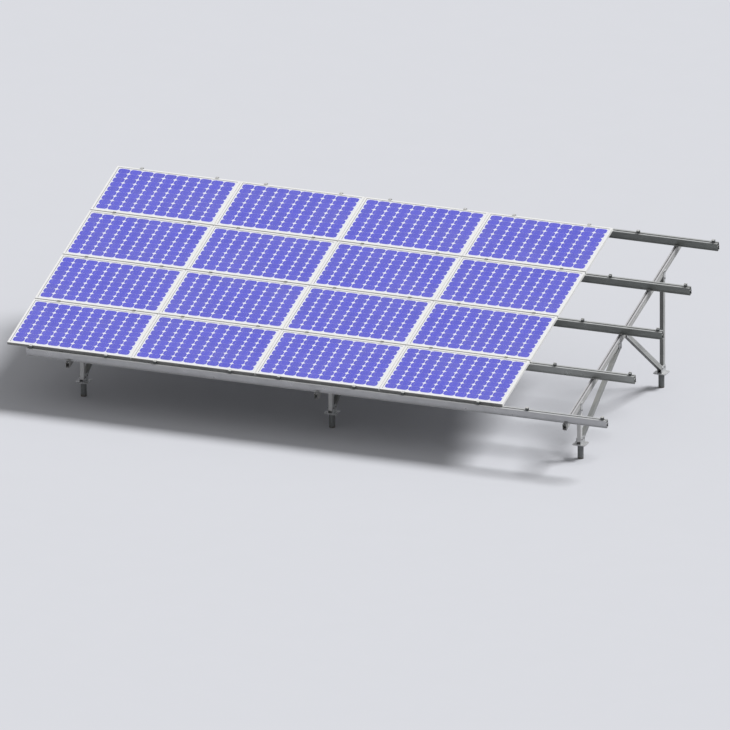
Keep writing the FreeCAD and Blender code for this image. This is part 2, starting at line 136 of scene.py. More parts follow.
@dataclass(frozen=True)
class TableAxes:
    """Axes that lie in the module plane."""

    tilt: float  # slope of the table, in radians
    origin: Vector  # the point of the frame where u, v and w are zero

    @classmethod
    def from_frame(cls, tilt: float, solid: bpy.types.Object) -> TableAxes:
        """Puts the axes at the low left corner of the lowest row of module frames.

        Args:
            tilt: Slope of the table, in radians.
            solid: The solid of that row.

        Returns:
            The axes, with w zero at the top face of the frames.
        """
        flat = Matrix.Rotation(-tilt, 3, "X")
        points = [flat @ vertex.co for vertex in solid.data.vertices]
        corner = Vector((
            min(point.x for point in points),
            min(point.y for point in points),
            max(point.z for point in points),
        ))
        return cls(tilt, flat.transposed() @ corner)

    @property
    def turn(self) -> Matrix:
        """Rotation from table axes to the frame."""
        return Matrix.Rotation(self.tilt, 3, "X")

    @property
    def normal(self) -> Vector:
        """Direction square to the modules."""
        return self.turn @ Vector((0, 0, 1))

    @property
    def up_slope(self) -> Vector:
        """Direction from the low edge to the high edge."""
        return self.turn @ Vector((0, 1, 0))

    def world(self, u: float, v: float, w: float) -> Vector:
        """The frame's point for a point in table axes."""
        return self.origin + self.turn @ Vector((u, v, w))

    def table(self, point: Vector) -> Vector:
        """The table's point for a point of the frame."""
        return self.turn.transposed() @ (point - self.origin)

    def height_over(self, y: float, w: float) -> float:
        """Height in the frame at which the plane w passes over a place y."""
        run = (y - self.origin.y + w * math.sin(self.tilt)) / math.cos(self.tilt)
        return self.world(0.0, run, w).z


def loose_solids(solid: bpy.types.Object, axes: TableAxes) -> list[Slab]:
    """Boxes of the separate solids in one node.

    Args:
        solid: The node's object.
        axes: The axes that the boxes are measured in.

    Returns:
        One box to a solid, in the order of v and then of u.
    """
    mesh = bmesh.new()
    mesh.from_mesh(solid.data)
    bmesh.ops.remove_doubles(mesh, verts=mesh.verts, dist=SAME_POINT)
    left = set(mesh.verts)
    slabs = []
    while left:
        front = [left.pop()]
        found = []
        while front:
            vertex = front.pop()
            found.append(axes.table(vertex.co))
            for edge in vertex.link_edges:
                other = edge.other_vert(vertex)
                if other in left:
                    left.remove(other)
                    front.append(other)
        low = Vector(min(point[i] for point in found) for i in range(3))
        high = Vector(max(point[i] for point in found) for i in range(3))
        slabs.append(Slab(low, high))
    mesh.free()
    return sorted(slabs, key=lambda slab: (round(slab.low.y, 4), round(slab.low.x, 4)))


# Shader groups


@dataclass
class Sheet:
    """A node tree with short calls for adding and joining nodes."""

    tree: bpy.types.NodeTree

    def add(
        self, kind: str, inputs: dict[str | int, object] | None = None, **settings: object
    ) -> bpy.types.Node:
        """Adds a node.

        Args:
            kind: Blender's name of the node type.
            inputs: Values or sockets for its inputs.
            **settings: Values of the node's own properties.

        Returns:
            The new node.
        """
        node = self.tree.nodes.new(kind)
        for key, value in settings.items():
            setattr(node, key, value)
        for key, value in (inputs or {}).items():
            self.feed(node.inputs[key], value)
        return node

    def feed(self, socket: bpy.types.NodeSocket, value: object) -> None:
        """Joins a socket to another, or sets its value.

        Args:
            socket: The input.
            value: What it takes: an output, or a plain value.
        """
        if isinstance(value, bpy.types.NodeSocket):
            self.tree.links.new(value, socket)
        else:
            socket.default_value = value

    def place(self) -> bpy.types.NodeSocket:
        """The point on the surface, in metres."""
        return self.add("ShaderNodeTexCoord").outputs["Object"]

    def along(self, vector: object, axis: str) -> bpy.types.NodeSocket:
        """One axis of a vector."""
        return self.add("ShaderNodeSeparateXYZ", {0: vector}).outputs[axis]

    def math(
        self, operation: str, first: object, second: object = 0.0, clamp: bool = False
    ) -> bpy.types.NodeSocket:
        """Result of a Math node."""
        node = self.add("ShaderNodeMath", {0: first, 1: second}, operation=operation, use_clamp=clamp)
        return node.outputs[0]

    def span(
        self, value: object, low: float, high: float, to_low: float = 0.0, to_high: float = 1.0
    ) -> bpy.types.NodeSocket:
        """A value moved from one range to another, and kept inside it."""
        ranges = {"Value": value, "From Min": low, "From Max": high, "To Min": to_low, "To Max": to_high}
        return self.add("ShaderNodeMapRange", ranges).outputs["Result"]

    def blend(self, share: object, first: object, second: object) -> bpy.types.NodeSocket:
        """Colour between two colours."""
        return self.add("ShaderNodeMix", {0: share, 6: first, 7: second}, data_type="RGBA").outputs[2]

    def noise(
        self, place: object, scale: object, detail: float = 4.0, rough: float = 0.55
    ) -> bpy.types.NodeSocket:
        """Value of a Noise texture."""
        inputs = {"Vector": place, "Scale": scale, "Detail": detail, "Roughness": rough}
        return self.add("ShaderNodeTexNoise", inputs).outputs["Fac"]

    def look(self, axis: str) -> bpy.types.NodeSocket:
        """How far the surface looks along an axis."""
        return self.along(self.add("ShaderNodeNewGeometry").outputs["Normal"], axis)

    def bump(self, shader: bpy.types.Node, height: object, strength: float, depth: float) -> None:
        """Gives the shader a relief."""
        node = self.add("ShaderNodeBump", {"Height": height, "Strength": strength, "Distance": depth})
        self.feed(shader.inputs["Normal"], node.outputs[0])

    def tilted(self, place: object, angle: object) -> bpy.types.NodeSocket:
        """A point turned about the X axis."""
        turned = self.add("ShaderNodeVectorRotate", {"Vector": place, "Angle": angle}, rotation_type="X_AXIS")
        return turned.outputs[0]


@dataclass
class GroupShelf:
    """The shader groups that the finishes share, each built once and then kept."""

    made: dict[str, bpy.types.ShaderNodeTree] = field(default_factory=dict)

    def new(
        self, name: str, inputs: dict[str, object], outputs: Sequence[str]
    ) -> tuple[Sheet, dict[str, bpy.types.NodeSocket], bpy.types.Node]:
        """Starts a group with named sockets.

        Args:
            name: The group's name.
            inputs: Socket name to its first value, a number or three numbers.
            outputs: Names of its output values.

        Returns:
            The group's sheet, its inputs by name and its output node.
        """
        tree = bpy.data.node_groups.new(name, "ShaderNodeTree")
        for label, value in inputs.items():
            kind = "NodeSocketVector" if isinstance(value, tuple) else "NodeSocketFloat"
            socket = tree.interface.new_socket(name=label, in_out="INPUT", socket_type=kind)
            socket.default_value = value
        for label in outputs:
            tree.interface.new_socket(name=label, in_out="OUTPUT", socket_type="NodeSocketFloat")
        self.made[name] = tree
        sheet = Sheet(tree)
        given = sheet.add("NodeGroupInput").outputs
        return sheet, {label: given[label] for label in inputs}, sheet.add("NodeGroupOutput")

    def use(self, sheet: Sheet, name: str, **inputs: object) -> bpy.types.NodeOutputs:
        """Places a group in a material.

        Args:
            sheet: The material's sheet.
            name: The group's name.
            **inputs: Values of its inputs, with _ for each blank in a socket's name.

        Returns:
            The placed group's outputs.
        """
        node = sheet.add("ShaderNodeGroup", node_tree=self.made[name])
        for key, value in inputs.items():
            sheet.feed(node.inputs[key.replace("_", " ")], value)
        return node.outputs

    def build(self) -> None:
        """Builds every group."""
        self._drawn_grain()
        self._edge_wear()
        self._recess_grime()
        self._settled_dust()
        self._damp_grime()
        self._zinc_spangle()

    def _drawn_grain(self) -> None:
        """Die lines, fine scratches and cloudy mottle along a drawn piece."""
        inputs = {"Tilt": 0.0, "Stretch": (1.0, 1.0, 1.0), "Mottle Scale": 6.0}
        sheet, given, out = self.new("drawn_grain", inputs, ("Lines", "Mottle", "Height"))
        place = sheet.place()
        level = sheet.tilted(place, given["Tilt"])
        stretched = sheet.add("ShaderNodeVectorMath", {0: level, 1: given["Stretch"]}, operation="MULTIPLY")
        lines = sheet.noise(stretched.outputs[0], 1.0, 3.0, 0.6)
        scratches = sheet.noise(stretched.outputs[0], 3.7, 2.0, 0.7)
        mottle = sheet.noise(place, given["Mottle Scale"], 5.0, 0.6)
        sheet.feed(out.inputs["Lines"], sheet.span(lines, 0.3, 0.7))
        sheet.feed(out.inputs["Mottle"], sheet.span(mottle, 0.3, 0.7))
        sheet.feed(out.inputs["Height"], sheet.math("ADD", lines, sheet.math("MULTIPLY", scratches, 0.5)))

    def _edge_wear(self) -> None:
        """Bare, brighter metal where an edge is rubbed, broken up by noise."""
        inputs = {"Radius": 0.002, "Break Up": 60.0, "Amount": 1.0}
        sheet, given, out = self.new("edge_wear", inputs, ("Mask",))
        soft = sheet.add("ShaderNodeBevel", {"Radius": given["Radius"]}, samples=4).outputs[0]
        flat = sheet.add("ShaderNodeNewGeometry").outputs["Normal"]
        agree = sheet.add("ShaderNodeVectorMath", {0: soft, 1: flat}, operation="DOT_PRODUCT")
        bend = sheet.span(agree.outputs["Value"], 0.985, 0.86)
        rubbed = sheet.span(sheet.noise(sheet.place(), given["Break Up"], 3.0), 0.42, 0.6)
        mask = sheet.math("MULTIPLY", bend, rubbed)
        sheet.feed(out.inputs["Mask"], sheet.math("MULTIPLY", mask, given["Amount"], clamp=True))

    def _recess_grime(self) -> None:
        """Painted shade deep in slots, grooves and hollow ends, from ambient occlusion, stronger in patches.
        """
        sheet, given, out = self.new("recess_painted_shade", {"Reach": 0.02, "Amount": 0.8}, ("Mask",))
        open_sky = sheet.add(
            "ShaderNodeAmbientOcclusion", {"Distance": given["Reach"]}, samples=6, only_local=True
        )
        # painted shade: full where the ambient occlusion is low
        deep = sheet.span(open_sky.outputs["AO"], 0.80, 0.42)
        patches = sheet.span(sheet.noise(sheet.place(), 25.0, 4.0), 0.3, 0.6, 0.75, 1.0)
        mask = sheet.math("MULTIPLY", deep, patches)
        sheet.feed(out.inputs["Mask"], sheet.math("MULTIPLY", mask, given["Amount"], clamp=True))

    def _settled_dust(self) -> None:
        """Dust on faces that look up, in soft patches over an even cover; at high amounts also a painted
        highlight on top faces.
        """
        inputs = {"Amount": 0.4, "Scale": 5.0, "Cover": 0.0}
        sheet, given, out = self.new("settled_dust", inputs, ("Mask",))
        up = sheet.look("Z")
        patches = sheet.span(sheet.noise(sheet.place(), given["Scale"], 6.0, 0.6), 0.38, 0.66)
        patches = sheet.math("MAXIMUM", patches, given["Cover"])
        mask = sheet.math("MULTIPLY", sheet.span(up, 0.35, 0.95), patches)
        sheet.feed(out.inputs["Mask"], sheet.math("MULTIPLY", mask, given["Amount"], clamp=True))

    def _damp_grime(self) -> None:
        """Painted shade on undersides and on walls that look down the slope."""
        inputs = {"Underside": 0.0, "Wall": 0.0, "Scale": 7.0}
        sheet, given, out = self.new("damp_grime", inputs, ("Mask",))
        patches = sheet.span(sheet.noise(sheet.place(), given["Scale"], 5.0), 0.3, 0.6, 0.8, 1.0)
        # painted shade on faces that look down and on walls that look down the slope
        under = sheet.span(sheet.look("Z"), -0.3, -0.55)
        wall = sheet.span(sheet.look("Y"), -0.75, -0.9)
        under = sheet.math("MULTIPLY", under, given["Underside"])
        wall = sheet.math("MULTIPLY", wall, given["Wall"])
        mask = sheet.math("MULTIPLY", sheet.math("MAXIMUM", under, wall), patches, clamp=True)
        sheet.feed(out.inputs["Mask"], mask)

    def _zinc_spangle(self) -> None:
        """Zinc crystals and dull runs of a hot-dip coat."""
        sheet, given, out = self.new("zinc_spangle", {"Scale": 90.0, "Contrast": 0.3}, ("Tone", "Height"))
        place = sheet.place()
        crystals = sheet.add("ShaderNodeTexVoronoi", {"Vector": place, "Scale": given["Scale"]})
        tone = sheet.add("ShaderNodeSeparateColor", {0: crystals.outputs["Color"]}).outputs["Red"]
        runs = sheet.noise(place, 14.0, 4.0, 0.6)
        mixed = sheet.math("ADD", sheet.math("MULTIPLY", tone, given["Contrast"]), runs)
        sheet.feed(out.inputs["Tone"], sheet.span(mixed, 0.35, 0.95))
        sheet.feed(out.inputs["Height"], crystals.outputs["Distance"])


# Finishes


@dataclass(frozen=True)
class Finish:
    """A surface finish that can be turned into a material."""

    name: str  # the material's name
    colour: Colour  # base colour, linear
    roughness: float  # middle roughness

    def _start(self, **fixed: float) -> tuple[bpy.types.Material, Sheet, bpy.types.Node]:
        """A material with its Principled shader, and the shader's plain values.

        Args:
            **fixed: Values of the shader's own inputs, with _ for each space of a name.

        Returns:
            The material, its node tree and its shader.
        """
        material = bpy.data.materials.new(self.name)
        material.use_nodes = True
        material.node_tree.nodes.clear()
        sheet = Sheet(material.node_tree)
        plain = {key.replace("_", " "): value for key, value in fixed.items()}
        shader = sheet.add("ShaderNodeBsdfPrincipled", {"Roughness": self.roughness, **plain})
        sheet.add("ShaderNodeOutputMaterial", {"Surface": shader.outputs[0]})
        material.diffuse_color = self.shade(1.0)
        return material, sheet, shader

    def shade(self, value: float) -> Fill:
        """The base colour made lighter or darker by a factor."""
        return (*(min(part * value, 1.0) for part in self.colour), 1.0)

    def rough_by(self, sheet: Sheet, value: object, below: float, above: float) -> bpy.types.NodeSocket:
        """Roughness that goes from a little below to a little above the middle one."""
        return sheet.span(value, 0.0, 1.0, self.roughness - below, self.roughness + above)


@dataclass(frozen=True)
class DrawnAluminium(Finish):
    """Mill-finish extrusion with die lines along its length, dust on its tops that is also a painted
    highlight, and painted shade in its slots, on its undersides and on walls that look down the slope.
    """

    stretch: Triple = (1.5, 260.0, 260.0)  # scale of the lines on each axis, small along the length
    tilt: float = 0.0  # slope of the piece, in radians, so that the lines follow it
    metallic: float = 0.35  # share of metal in the shader
    dust: float = 0.25  # amount of settled dust, which at high amounts is also a painted highlight on top faces
    cover: float = 0.0  # share of it that lies evenly
    dust_colour: Fill = DUST  # its colour
    grime: float = 0.85  # amount of painted shade in the recesses
    under: float = 0.0  # amount of painted shade on the undersides
    wall: float = 0.0  # amount of painted shade on the walls that look down the slope

    def material(self, shelf: GroupShelf) -> bpy.types.Material:
        """Builds the material.

        Args:
            shelf: The shader groups.

        Returns:
            The material.
        """
        material, sheet, shader = self._start()
        grain = shelf.use(sheet, "drawn_grain", Tilt=-self.tilt, Stretch=self.stretch)
        wear = shelf.use(sheet, "edge_wear", Radius=0.0015, Amount=0.8)
        grime = shelf.use(sheet, "recess_painted_shade", Amount=self.grime)
        dust = shelf.use(sheet, "settled_dust", Amount=self.dust, Cover=self.cover)
        colour = sheet.blend(grain["Lines"], self.shade(0.86), self.shade(1.08))
        colour = sheet.blend(sheet.math("MULTIPLY", grain["Mottle"], 0.5), colour, self.shade(0.80))
        # dust on faces that look up, and at high amounts a painted highlight on top faces
        colour = sheet.blend(dust["Mask"], colour, self.dust_colour)
        # painted shade in slots and recesses
        colour = sheet.blend(grime["Mask"], colour, self.shade(0.12))
        # painted shade on undersides and on walls that look down the slope
        underside_wall_shade = shelf.use(sheet, "damp_grime", Underside=self.under, Wall=self.wall)
        colour = sheet.blend(underside_wall_shade["Mask"], colour, self.shade(0.1))
        colour = sheet.blend(wear["Mask"], colour, self.shade(1.4))
        sheet.feed(shader.inputs["Base Color"], colour)
        rough = self.rough_by(sheet, grain["Mottle"], 0.07, 0.10)
        rough = sheet.math("ADD", rough, sheet.math("MULTIPLY", dust["Mask"], 0.25), clamp=True)
        sheet.feed(shader.inputs["Roughness"], rough)
        metal = sheet.span(dust["Mask"], 0.0, 1.0, self.metallic, self.metallic * 0.3)
        sheet.feed(shader.inputs["Metallic"], metal)
        sheet.bump(shader, grain["Height"], 0.12, 0.0004)
        return material


@dataclass(frozen=True)
class Anodised(Finish):
    """Satin anodised bars of the module frames, with painted shade on their walls that look down the slope.
    """

    metallic: float = 0.06  # share of metal in the shader
    run_off: float = 0.45  # amount of painted shade on the walls that look down the slope

    def material(self, shelf: GroupShelf) -> bpy.types.Material:
        """Builds the material.

        Args:
            shelf: The shader groups.

        Returns:
            The material.
        """
        material, sheet, shader = self._start(Metallic=self.metallic)
        grain = shelf.use(sheet, "drawn_grain", Stretch=(40.0, 40.0, 40.0), Mottle_Scale=3.0)
        wear = shelf.use(sheet, "edge_wear", Radius=0.0008, Amount=0.6)
        dust = shelf.use(sheet, "settled_dust", Amount=0.12, Scale=9.0)
        colour = sheet.blend(grain["Lines"], self.shade(0.97), self.shade(1.03))
        colour = sheet.blend(dust["Mask"], colour, (0.72, 0.70, 0.64, 1.0))
        # painted shade on the walls that look down the slope
        underside_wall_shade = shelf.use(sheet, "damp_grime", Wall=self.run_off, Scale=4.0)
        colour = sheet.blend(underside_wall_shade["Mask"], colour, (0.06, 0.06, 0.065, 1.0))
        colour = sheet.blend(wear["Mask"], colour, self.shade(1.1))
        sheet.feed(shader.inputs["Base Color"], colour)
        sheet.feed(shader.inputs["Roughness"], self.rough_by(sheet, grain["Mottle"], 0.05, 0.08))
        sheet.bump(shader, grain["Height"], 0.06, 0.0003)
        return material


@dataclass(frozen=True)
class HotDip(Finish):
    """Hot-dip galvanised steel with spangle, dull runs and earth near the ground."""

    metallic: float = 0.5  # share of metal in the shader
    splash: float = 0.0  # height in metres up to which the coat is dirty, or zero
    stained: float = 0.0  # height in metres up to which it is dull and dark, or zero

    def material(self, shelf: GroupShelf) -> bpy.types.Material:
        """Builds the material.

        Args:
            shelf: The shader groups.

        Returns:
            The material.
        """
        material, sheet, shader = self._start(Metallic=self.metallic)
        zinc = shelf.use(sheet, "zinc_spangle")
        wear = shelf.use(sheet, "edge_wear", Radius=0.002, Amount=0.7)
        grime = shelf.use(sheet, "recess_painted_shade", Reach=0.03, Amount=0.8)
        dust = shelf.use(sheet, "settled_dust", Amount=0.4, Scale=20.0, Cover=0.2)
        colour = sheet.blend(zinc["Tone"], self.shade(0.74), self.shade(1.2))
        colour = sheet.blend(dust["Mask"], colour, (0.66, 0.65, 0.61, 1.0))
        # painted shade in recesses
        colour = sheet.blend(grime["Mask"], colour, self.shade(0.2))
        colour = sheet.blend(wear["Mask"], colour, self.shade(1.5))
        if self.splash:
            place = sheet.place()
            height = sheet.along(place, "Z")
            dull = sheet.span(height, self.stained, self.stained - 0.004, 0.0, 0.8)
            colour = sheet.blend(dull, colour, (0.13, 0.14, 0.14, 1.0))
            patches = sheet.math("MULTIPLY", sheet.noise(place, 30.0), 0.08)
            height = sheet.math("ADD", height, patches)
            colour = sheet.blend(sheet.span(height, self.splash, 0.04, 0.0, 0.75), colour, EARTH)
        sheet.feed(shader.inputs["Base Color"], colour)
        sheet.feed(shader.inputs["Roughness"], self.rough_by(sheet, zinc["Tone"], -0.1, -0.08))
        sheet.bump(shader, zinc["Height"], 0.15, 0.0006)
        return material


@dataclass(frozen=True)
class Backsheet(Finish):
    """White sheet behind clear glass on the upper side, bare and matt below."""

    def material(self, shelf: GroupShelf) -> bpy.types.Material:
        """Builds the material.

        Args:
            shelf: The shader groups.

        Returns:
            The material.
        """
        material, sheet, shader = self._start(Coat_Roughness=0.06)
        dust = shelf.use(sheet, "settled_dust", Amount=0.10, Scale=3.0)
        grain = sheet.span(sheet.noise(sheet.place(), 240.0, 2.0), 0.3, 0.7)
        white = sheet.blend(grain, self.shade(0.97), self.shade(1.0))
        sheet.feed(shader.inputs["Base Color"], sheet.blend(dust["Mask"], white, (0.70, 0.67, 0.60, 1.0)))
        up = sheet.look("Z")
        sheet.feed(shader.inputs["Coat Weight"], sheet.span(up, 0.2, 0.3))
        sheet.bump(shader, grain, 0.08, 0.0003)
        return material


@dataclass(frozen=True)
class Silicon(Finish):
    """Cells under glass: cloudy blue-violet with fine silver fingers."""

    tilt: float = 0.0  # slope of the table, in radians
    finger_pitch: float = 0.0024  # distance between two fingers, in metres
    finger_width: float = 0.05  # share of the pitch that a finger covers

    def material(self, shelf: GroupShelf) -> bpy.types.Material:
        """Builds the material.

        Args:
            shelf: The shader groups.

        Returns:
            The material.
        """
        material, sheet, shader = self._start(Specular_IOR_Level=0.2, Coat_Weight=1.0, Coat_Roughness=0.06)
        place = sheet.place()
        up_slope = sheet.along(sheet.tilted(place, -self.tilt), "Y")
        phase = sheet.math("FRACT", sheet.math("DIVIDE", up_slope, self.finger_pitch))
        finger = sheet.math("LESS_THAN", phase, self.finger_width)
        tone = sheet.add("ShaderNodeAttribute", attribute_name="cell_tone").outputs["Fac"]
        cloud = sheet.span(sheet.noise(place, 9.0, 5.0, 0.6), 0.3, 0.7)
        mixed = sheet.math("ADD", sheet.math("MULTIPLY", cloud, 0.4), sheet.math("MULTIPLY", tone, 0.6))
        colour = sheet.blend(mixed, self.shade(0.92), self.shade(1.07))
        colour = sheet.blend(sheet.math("MULTIPLY", finger, 0.35), colour, (0.50, 0.52, 0.80, 1.0))
        dust = shelf.use(sheet, "settled_dust", Amount=0.05, Scale=2.0)
        sheet.feed(shader.inputs["Base Color"], sheet.blend(dust["Mask"], colour, DUST))
        sheet.feed(shader.inputs["Roughness"], self.rough_by(sheet, cloud, 0.0, 0.15))
        return material


@dataclass(frozen=True)
class BrightMetal(Finish):
    """Tinned ribbon, plated screws and stainless bolts."""

    metallic: float = 0.85  # share of metal in the shader

    def material(self, shelf: GroupShelf) -> bpy.types.Material:
        """Builds the material.

        Args:
            shelf: The shader groups.

        Returns:
            The material.
        """
        material, sheet, shader = self._start(Metallic=self.metallic)
        grain = shelf.use(sheet, "drawn_grain", Stretch=(300.0, 300.0, 300.0), Mottle_Scale=40.0)
        wear = shelf.use(sheet, "edge_wear", Radius=0.001, Break_Up=200.0)
        dust = shelf.use(sheet, "settled_dust", Amount=0.3, Scale=60.0)
        colour = sheet.blend(grain["Mottle"], self.shade(0.8), self.shade(1.1))
        colour = sheet.blend(dust["Mask"], colour, (0.36, 0.31, 0.25, 1.0))
        colour = sheet.blend(wear["Mask"], colour, self.shade(1.4))
        sheet.feed(shader.inputs["Base Color"], colour)
        sheet.feed(shader.inputs["Roughness"], self.rough_by(sheet, grain["Lines"], 0.08, 0.12))
        return material


@dataclass(frozen=True)
class Polymer(Finish):
    """Moulded plastic or cured sealant with a fine matt texture."""

    def material(self, shelf: GroupShelf) -> bpy.types.Material:
        """Builds the material.

        Args:
            shelf: The shader groups.

        Returns:
            The material.
        """
        material, sheet, shader = self._start()
        place = sheet.place()
        haze = sheet.span(sheet.noise(place, 25.0, 4.0), 0.35, 0.7)
        wear = shelf.use(sheet, "edge_wear", Radius=0.001, Amount=0.5)
        base = sheet.blend(haze, self.shade(0.8), self.shade(1.6))
        sheet.feed(shader.inputs["Base Color"], sheet.blend(wear["Mask"], base, self.shade(3.0)))
        sheet.feed(shader.inputs["Roughness"], self.rough_by(sheet, haze, 0.08, 0.10))
        texture = sheet.noise(place, 900.0, 2.0, 0.7)
        sheet.bump(shader, texture, 0.25, 0.0002)
        return material


@dataclass(frozen=True)
class PaleFloor(Finish):
    """Plain studio floor: pale where it is seen or mirrored, and dimmer in the light it throws back."""

    bounce: Colour = (0.16, 0.16, 0.16)  # colour that lights the object from below

    def material(self, shelf: GroupShelf) -> bpy.types.Material:
        """Builds the material.

        Args:
            shelf: The shader groups; not used.

        Returns:
            The material.
        """
        material, sheet, shader = self._start(Specular_IOR_Level=0.0)
        grain = sheet.span(sheet.noise(sheet.place(), 2.0, 3.0), 0.2, 0.8)
        sheet.feed(shader.inputs["Base Color"], sheet.blend(grain, self.shade(0.995), self.shade(1.005)))
        dim = sheet.add("ShaderNodeBsdfDiffuse", {"Color": (*self.bounce, 1.0)})
        mix = sheet.add("ShaderNodeMixShader", {0: seen_ray(sheet), 1: dim.outputs[0], 2: shader.outputs[0]})
        output = next(node for node in sheet.tree.nodes if node.type == "OUTPUT_MATERIAL")
        sheet.feed(output.inputs["Surface"], mix.outputs[0])
        return material


def seen_ray(sheet: Sheet) -> bpy.types.NodeSocket:
    """One for a ray of the camera, a reflection or clear glass, and zero for a ray of light.

    Args:
        sheet: The node tree that it is added to.

    Returns:
        The output with that value.
    """
    path = sheet.add("ShaderNodeLightPath").outputs
    seen = sheet.math("MAXIMUM", path["Is Camera Ray"], path["Is Glossy Ray"])
    return sheet.math("MAXIMUM", seen, path["Is Transmission Ray"])


# Meshes


@dataclass
class MeshMaker:
    """Collects points and faces, and turns them into one piece."""

    points: list[Vector] = field(default_factory=list)
    faces: list[tuple[int, ...]] = field(default_factory=list)
    tones: list[float] = field(default_factory=list)

    def ring_stack(self, at: Matrix, rings: Sequence[tuple[Ring, float, float]], sides: int = 24) -> None:
        """Adds a closed stack of rings, such as a bolt head.

        Args:
            at: Place of the stack; its rings are stacked along Z.
            rings: Outline, radius (a hexagon's half width across flats) and height of each ring.
            sides: Points in each ring, a multiple of six.
        """
        start = len(self.points)
        sixth = math.tau / 6
        for outline, radius, height in rings:
            for step in range(sides):
                angle = math.tau * step / sides
                reach = radius
                if outline is Ring.HEX:
                    reach = radius / math.cos((angle % sixth) - sixth / 2)
                self.points.append(at @ Vector((reach * math.cos(angle), reach * math.sin(angle), height)))
        for level in range(len(rings) - 1):
            base = start + level * sides
            for step in range(sides):
                after = (step + 1) % sides
                self.faces.append((base + step, base + after, base + sides + after, base + sides + step))
        self.faces.append(tuple(start + step for step in reversed(range(sides))))
        top = start + (len(rings) - 1) * sides
        self.faces.append(tuple(top + step for step in range(sides)))

    def loop_band(self, loops: Sequence[Sequence[Vector]]) -> None:
        """Adds a closed band, such as a weld.

        Args:
            loops: Cross sections in order round the band, each of the same count of points.
        """
        start = len(self.points)
        count = len(loops[0])
        for loop in loops:
            self.points.extend(loop)
        for i in range(len(loops)):
            here = start + i * count
            there = start + (i + 1) % len(loops) * count
            for j in range(count):
                k = (j + 1) % count
                self.faces.append((here + j, here + k, there + k, there + j))

    def plate(self, outline: Sequence[Vector], rise: Vector, tone: float | None = None) -> None:
        """Adds a flat closed plate.

        Args:
            outline: Corners of its lower face, anticlockwise from above.
            rise: From the lower face to the upper one.
            tone: Value of its cell_tone attribute, if it has one.
        """
        start = len(self.points)
        count = len(outline)
        self.points.extend(outline)
        self.points.extend(corner + rise for corner in outline)
        self.faces.append(tuple(start + i for i in reversed(range(count))))
        self.faces.append(tuple(start + count + i for i in range(count)))
        for i in range(count):
            j = (i + 1) % count
            self.faces.append((start + i, start + j, start + count + j, start + count + i))
        if tone is not None:
            self.tones.extend([tone] * (count + 2))

    def piece(
        self, name: str, slot: str, material: bpy.types.Material, smooth_angle: float | None = None
    ) -> None:
        """Makes the object and lets it ride on the body.

        Args:
            name: The piece's name.
            slot: The record's slot that its finish comes from; not used.
            material: Its material.
            smooth_angle: Edges flatter than this, in degrees, are shaded smooth.
        """
        mesh = bpy.data.meshes.new(name)
        mesh.from_pydata([tuple(point) for point in self.points], [], self.faces)
        if self.tones:
            tone = mesh.attributes.new("cell_tone", "FLOAT", "FACE")
            tone.data.foreach_set("value", self.tones)
        mesh.update()
        piece = bpy.data.objects.new(name, mesh)
        bpy.context.scene.collection.objects.link(piece)
        mesh.materials.append(material)
        if smooth_angle is not None:
            mesh.shade_smooth()
            mesh.set_sharp_from_angle(angle=math.radians(smooth_angle))
        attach(piece, BODY)
        LOG.info("made %s with %d faces", name, len(mesh.polygons))


def facing(point: Vector, axis: Vector, spin: float = 0.0) -> Matrix:
    """Matrix that stands a stack on a point, along an axis.

    Args:
        point: Foot of the stack.
        axis: The way it rises.
        spin: Turn about the axis, in radians.

    Returns:
        The matrix.
    """
    turn = axis.normalized().to_track_quat("Z", "Y").to_matrix().to_4x4()
    return Matrix.Translation(point) @ turn @ Matrix.Rotation(spin, 4, "Z")


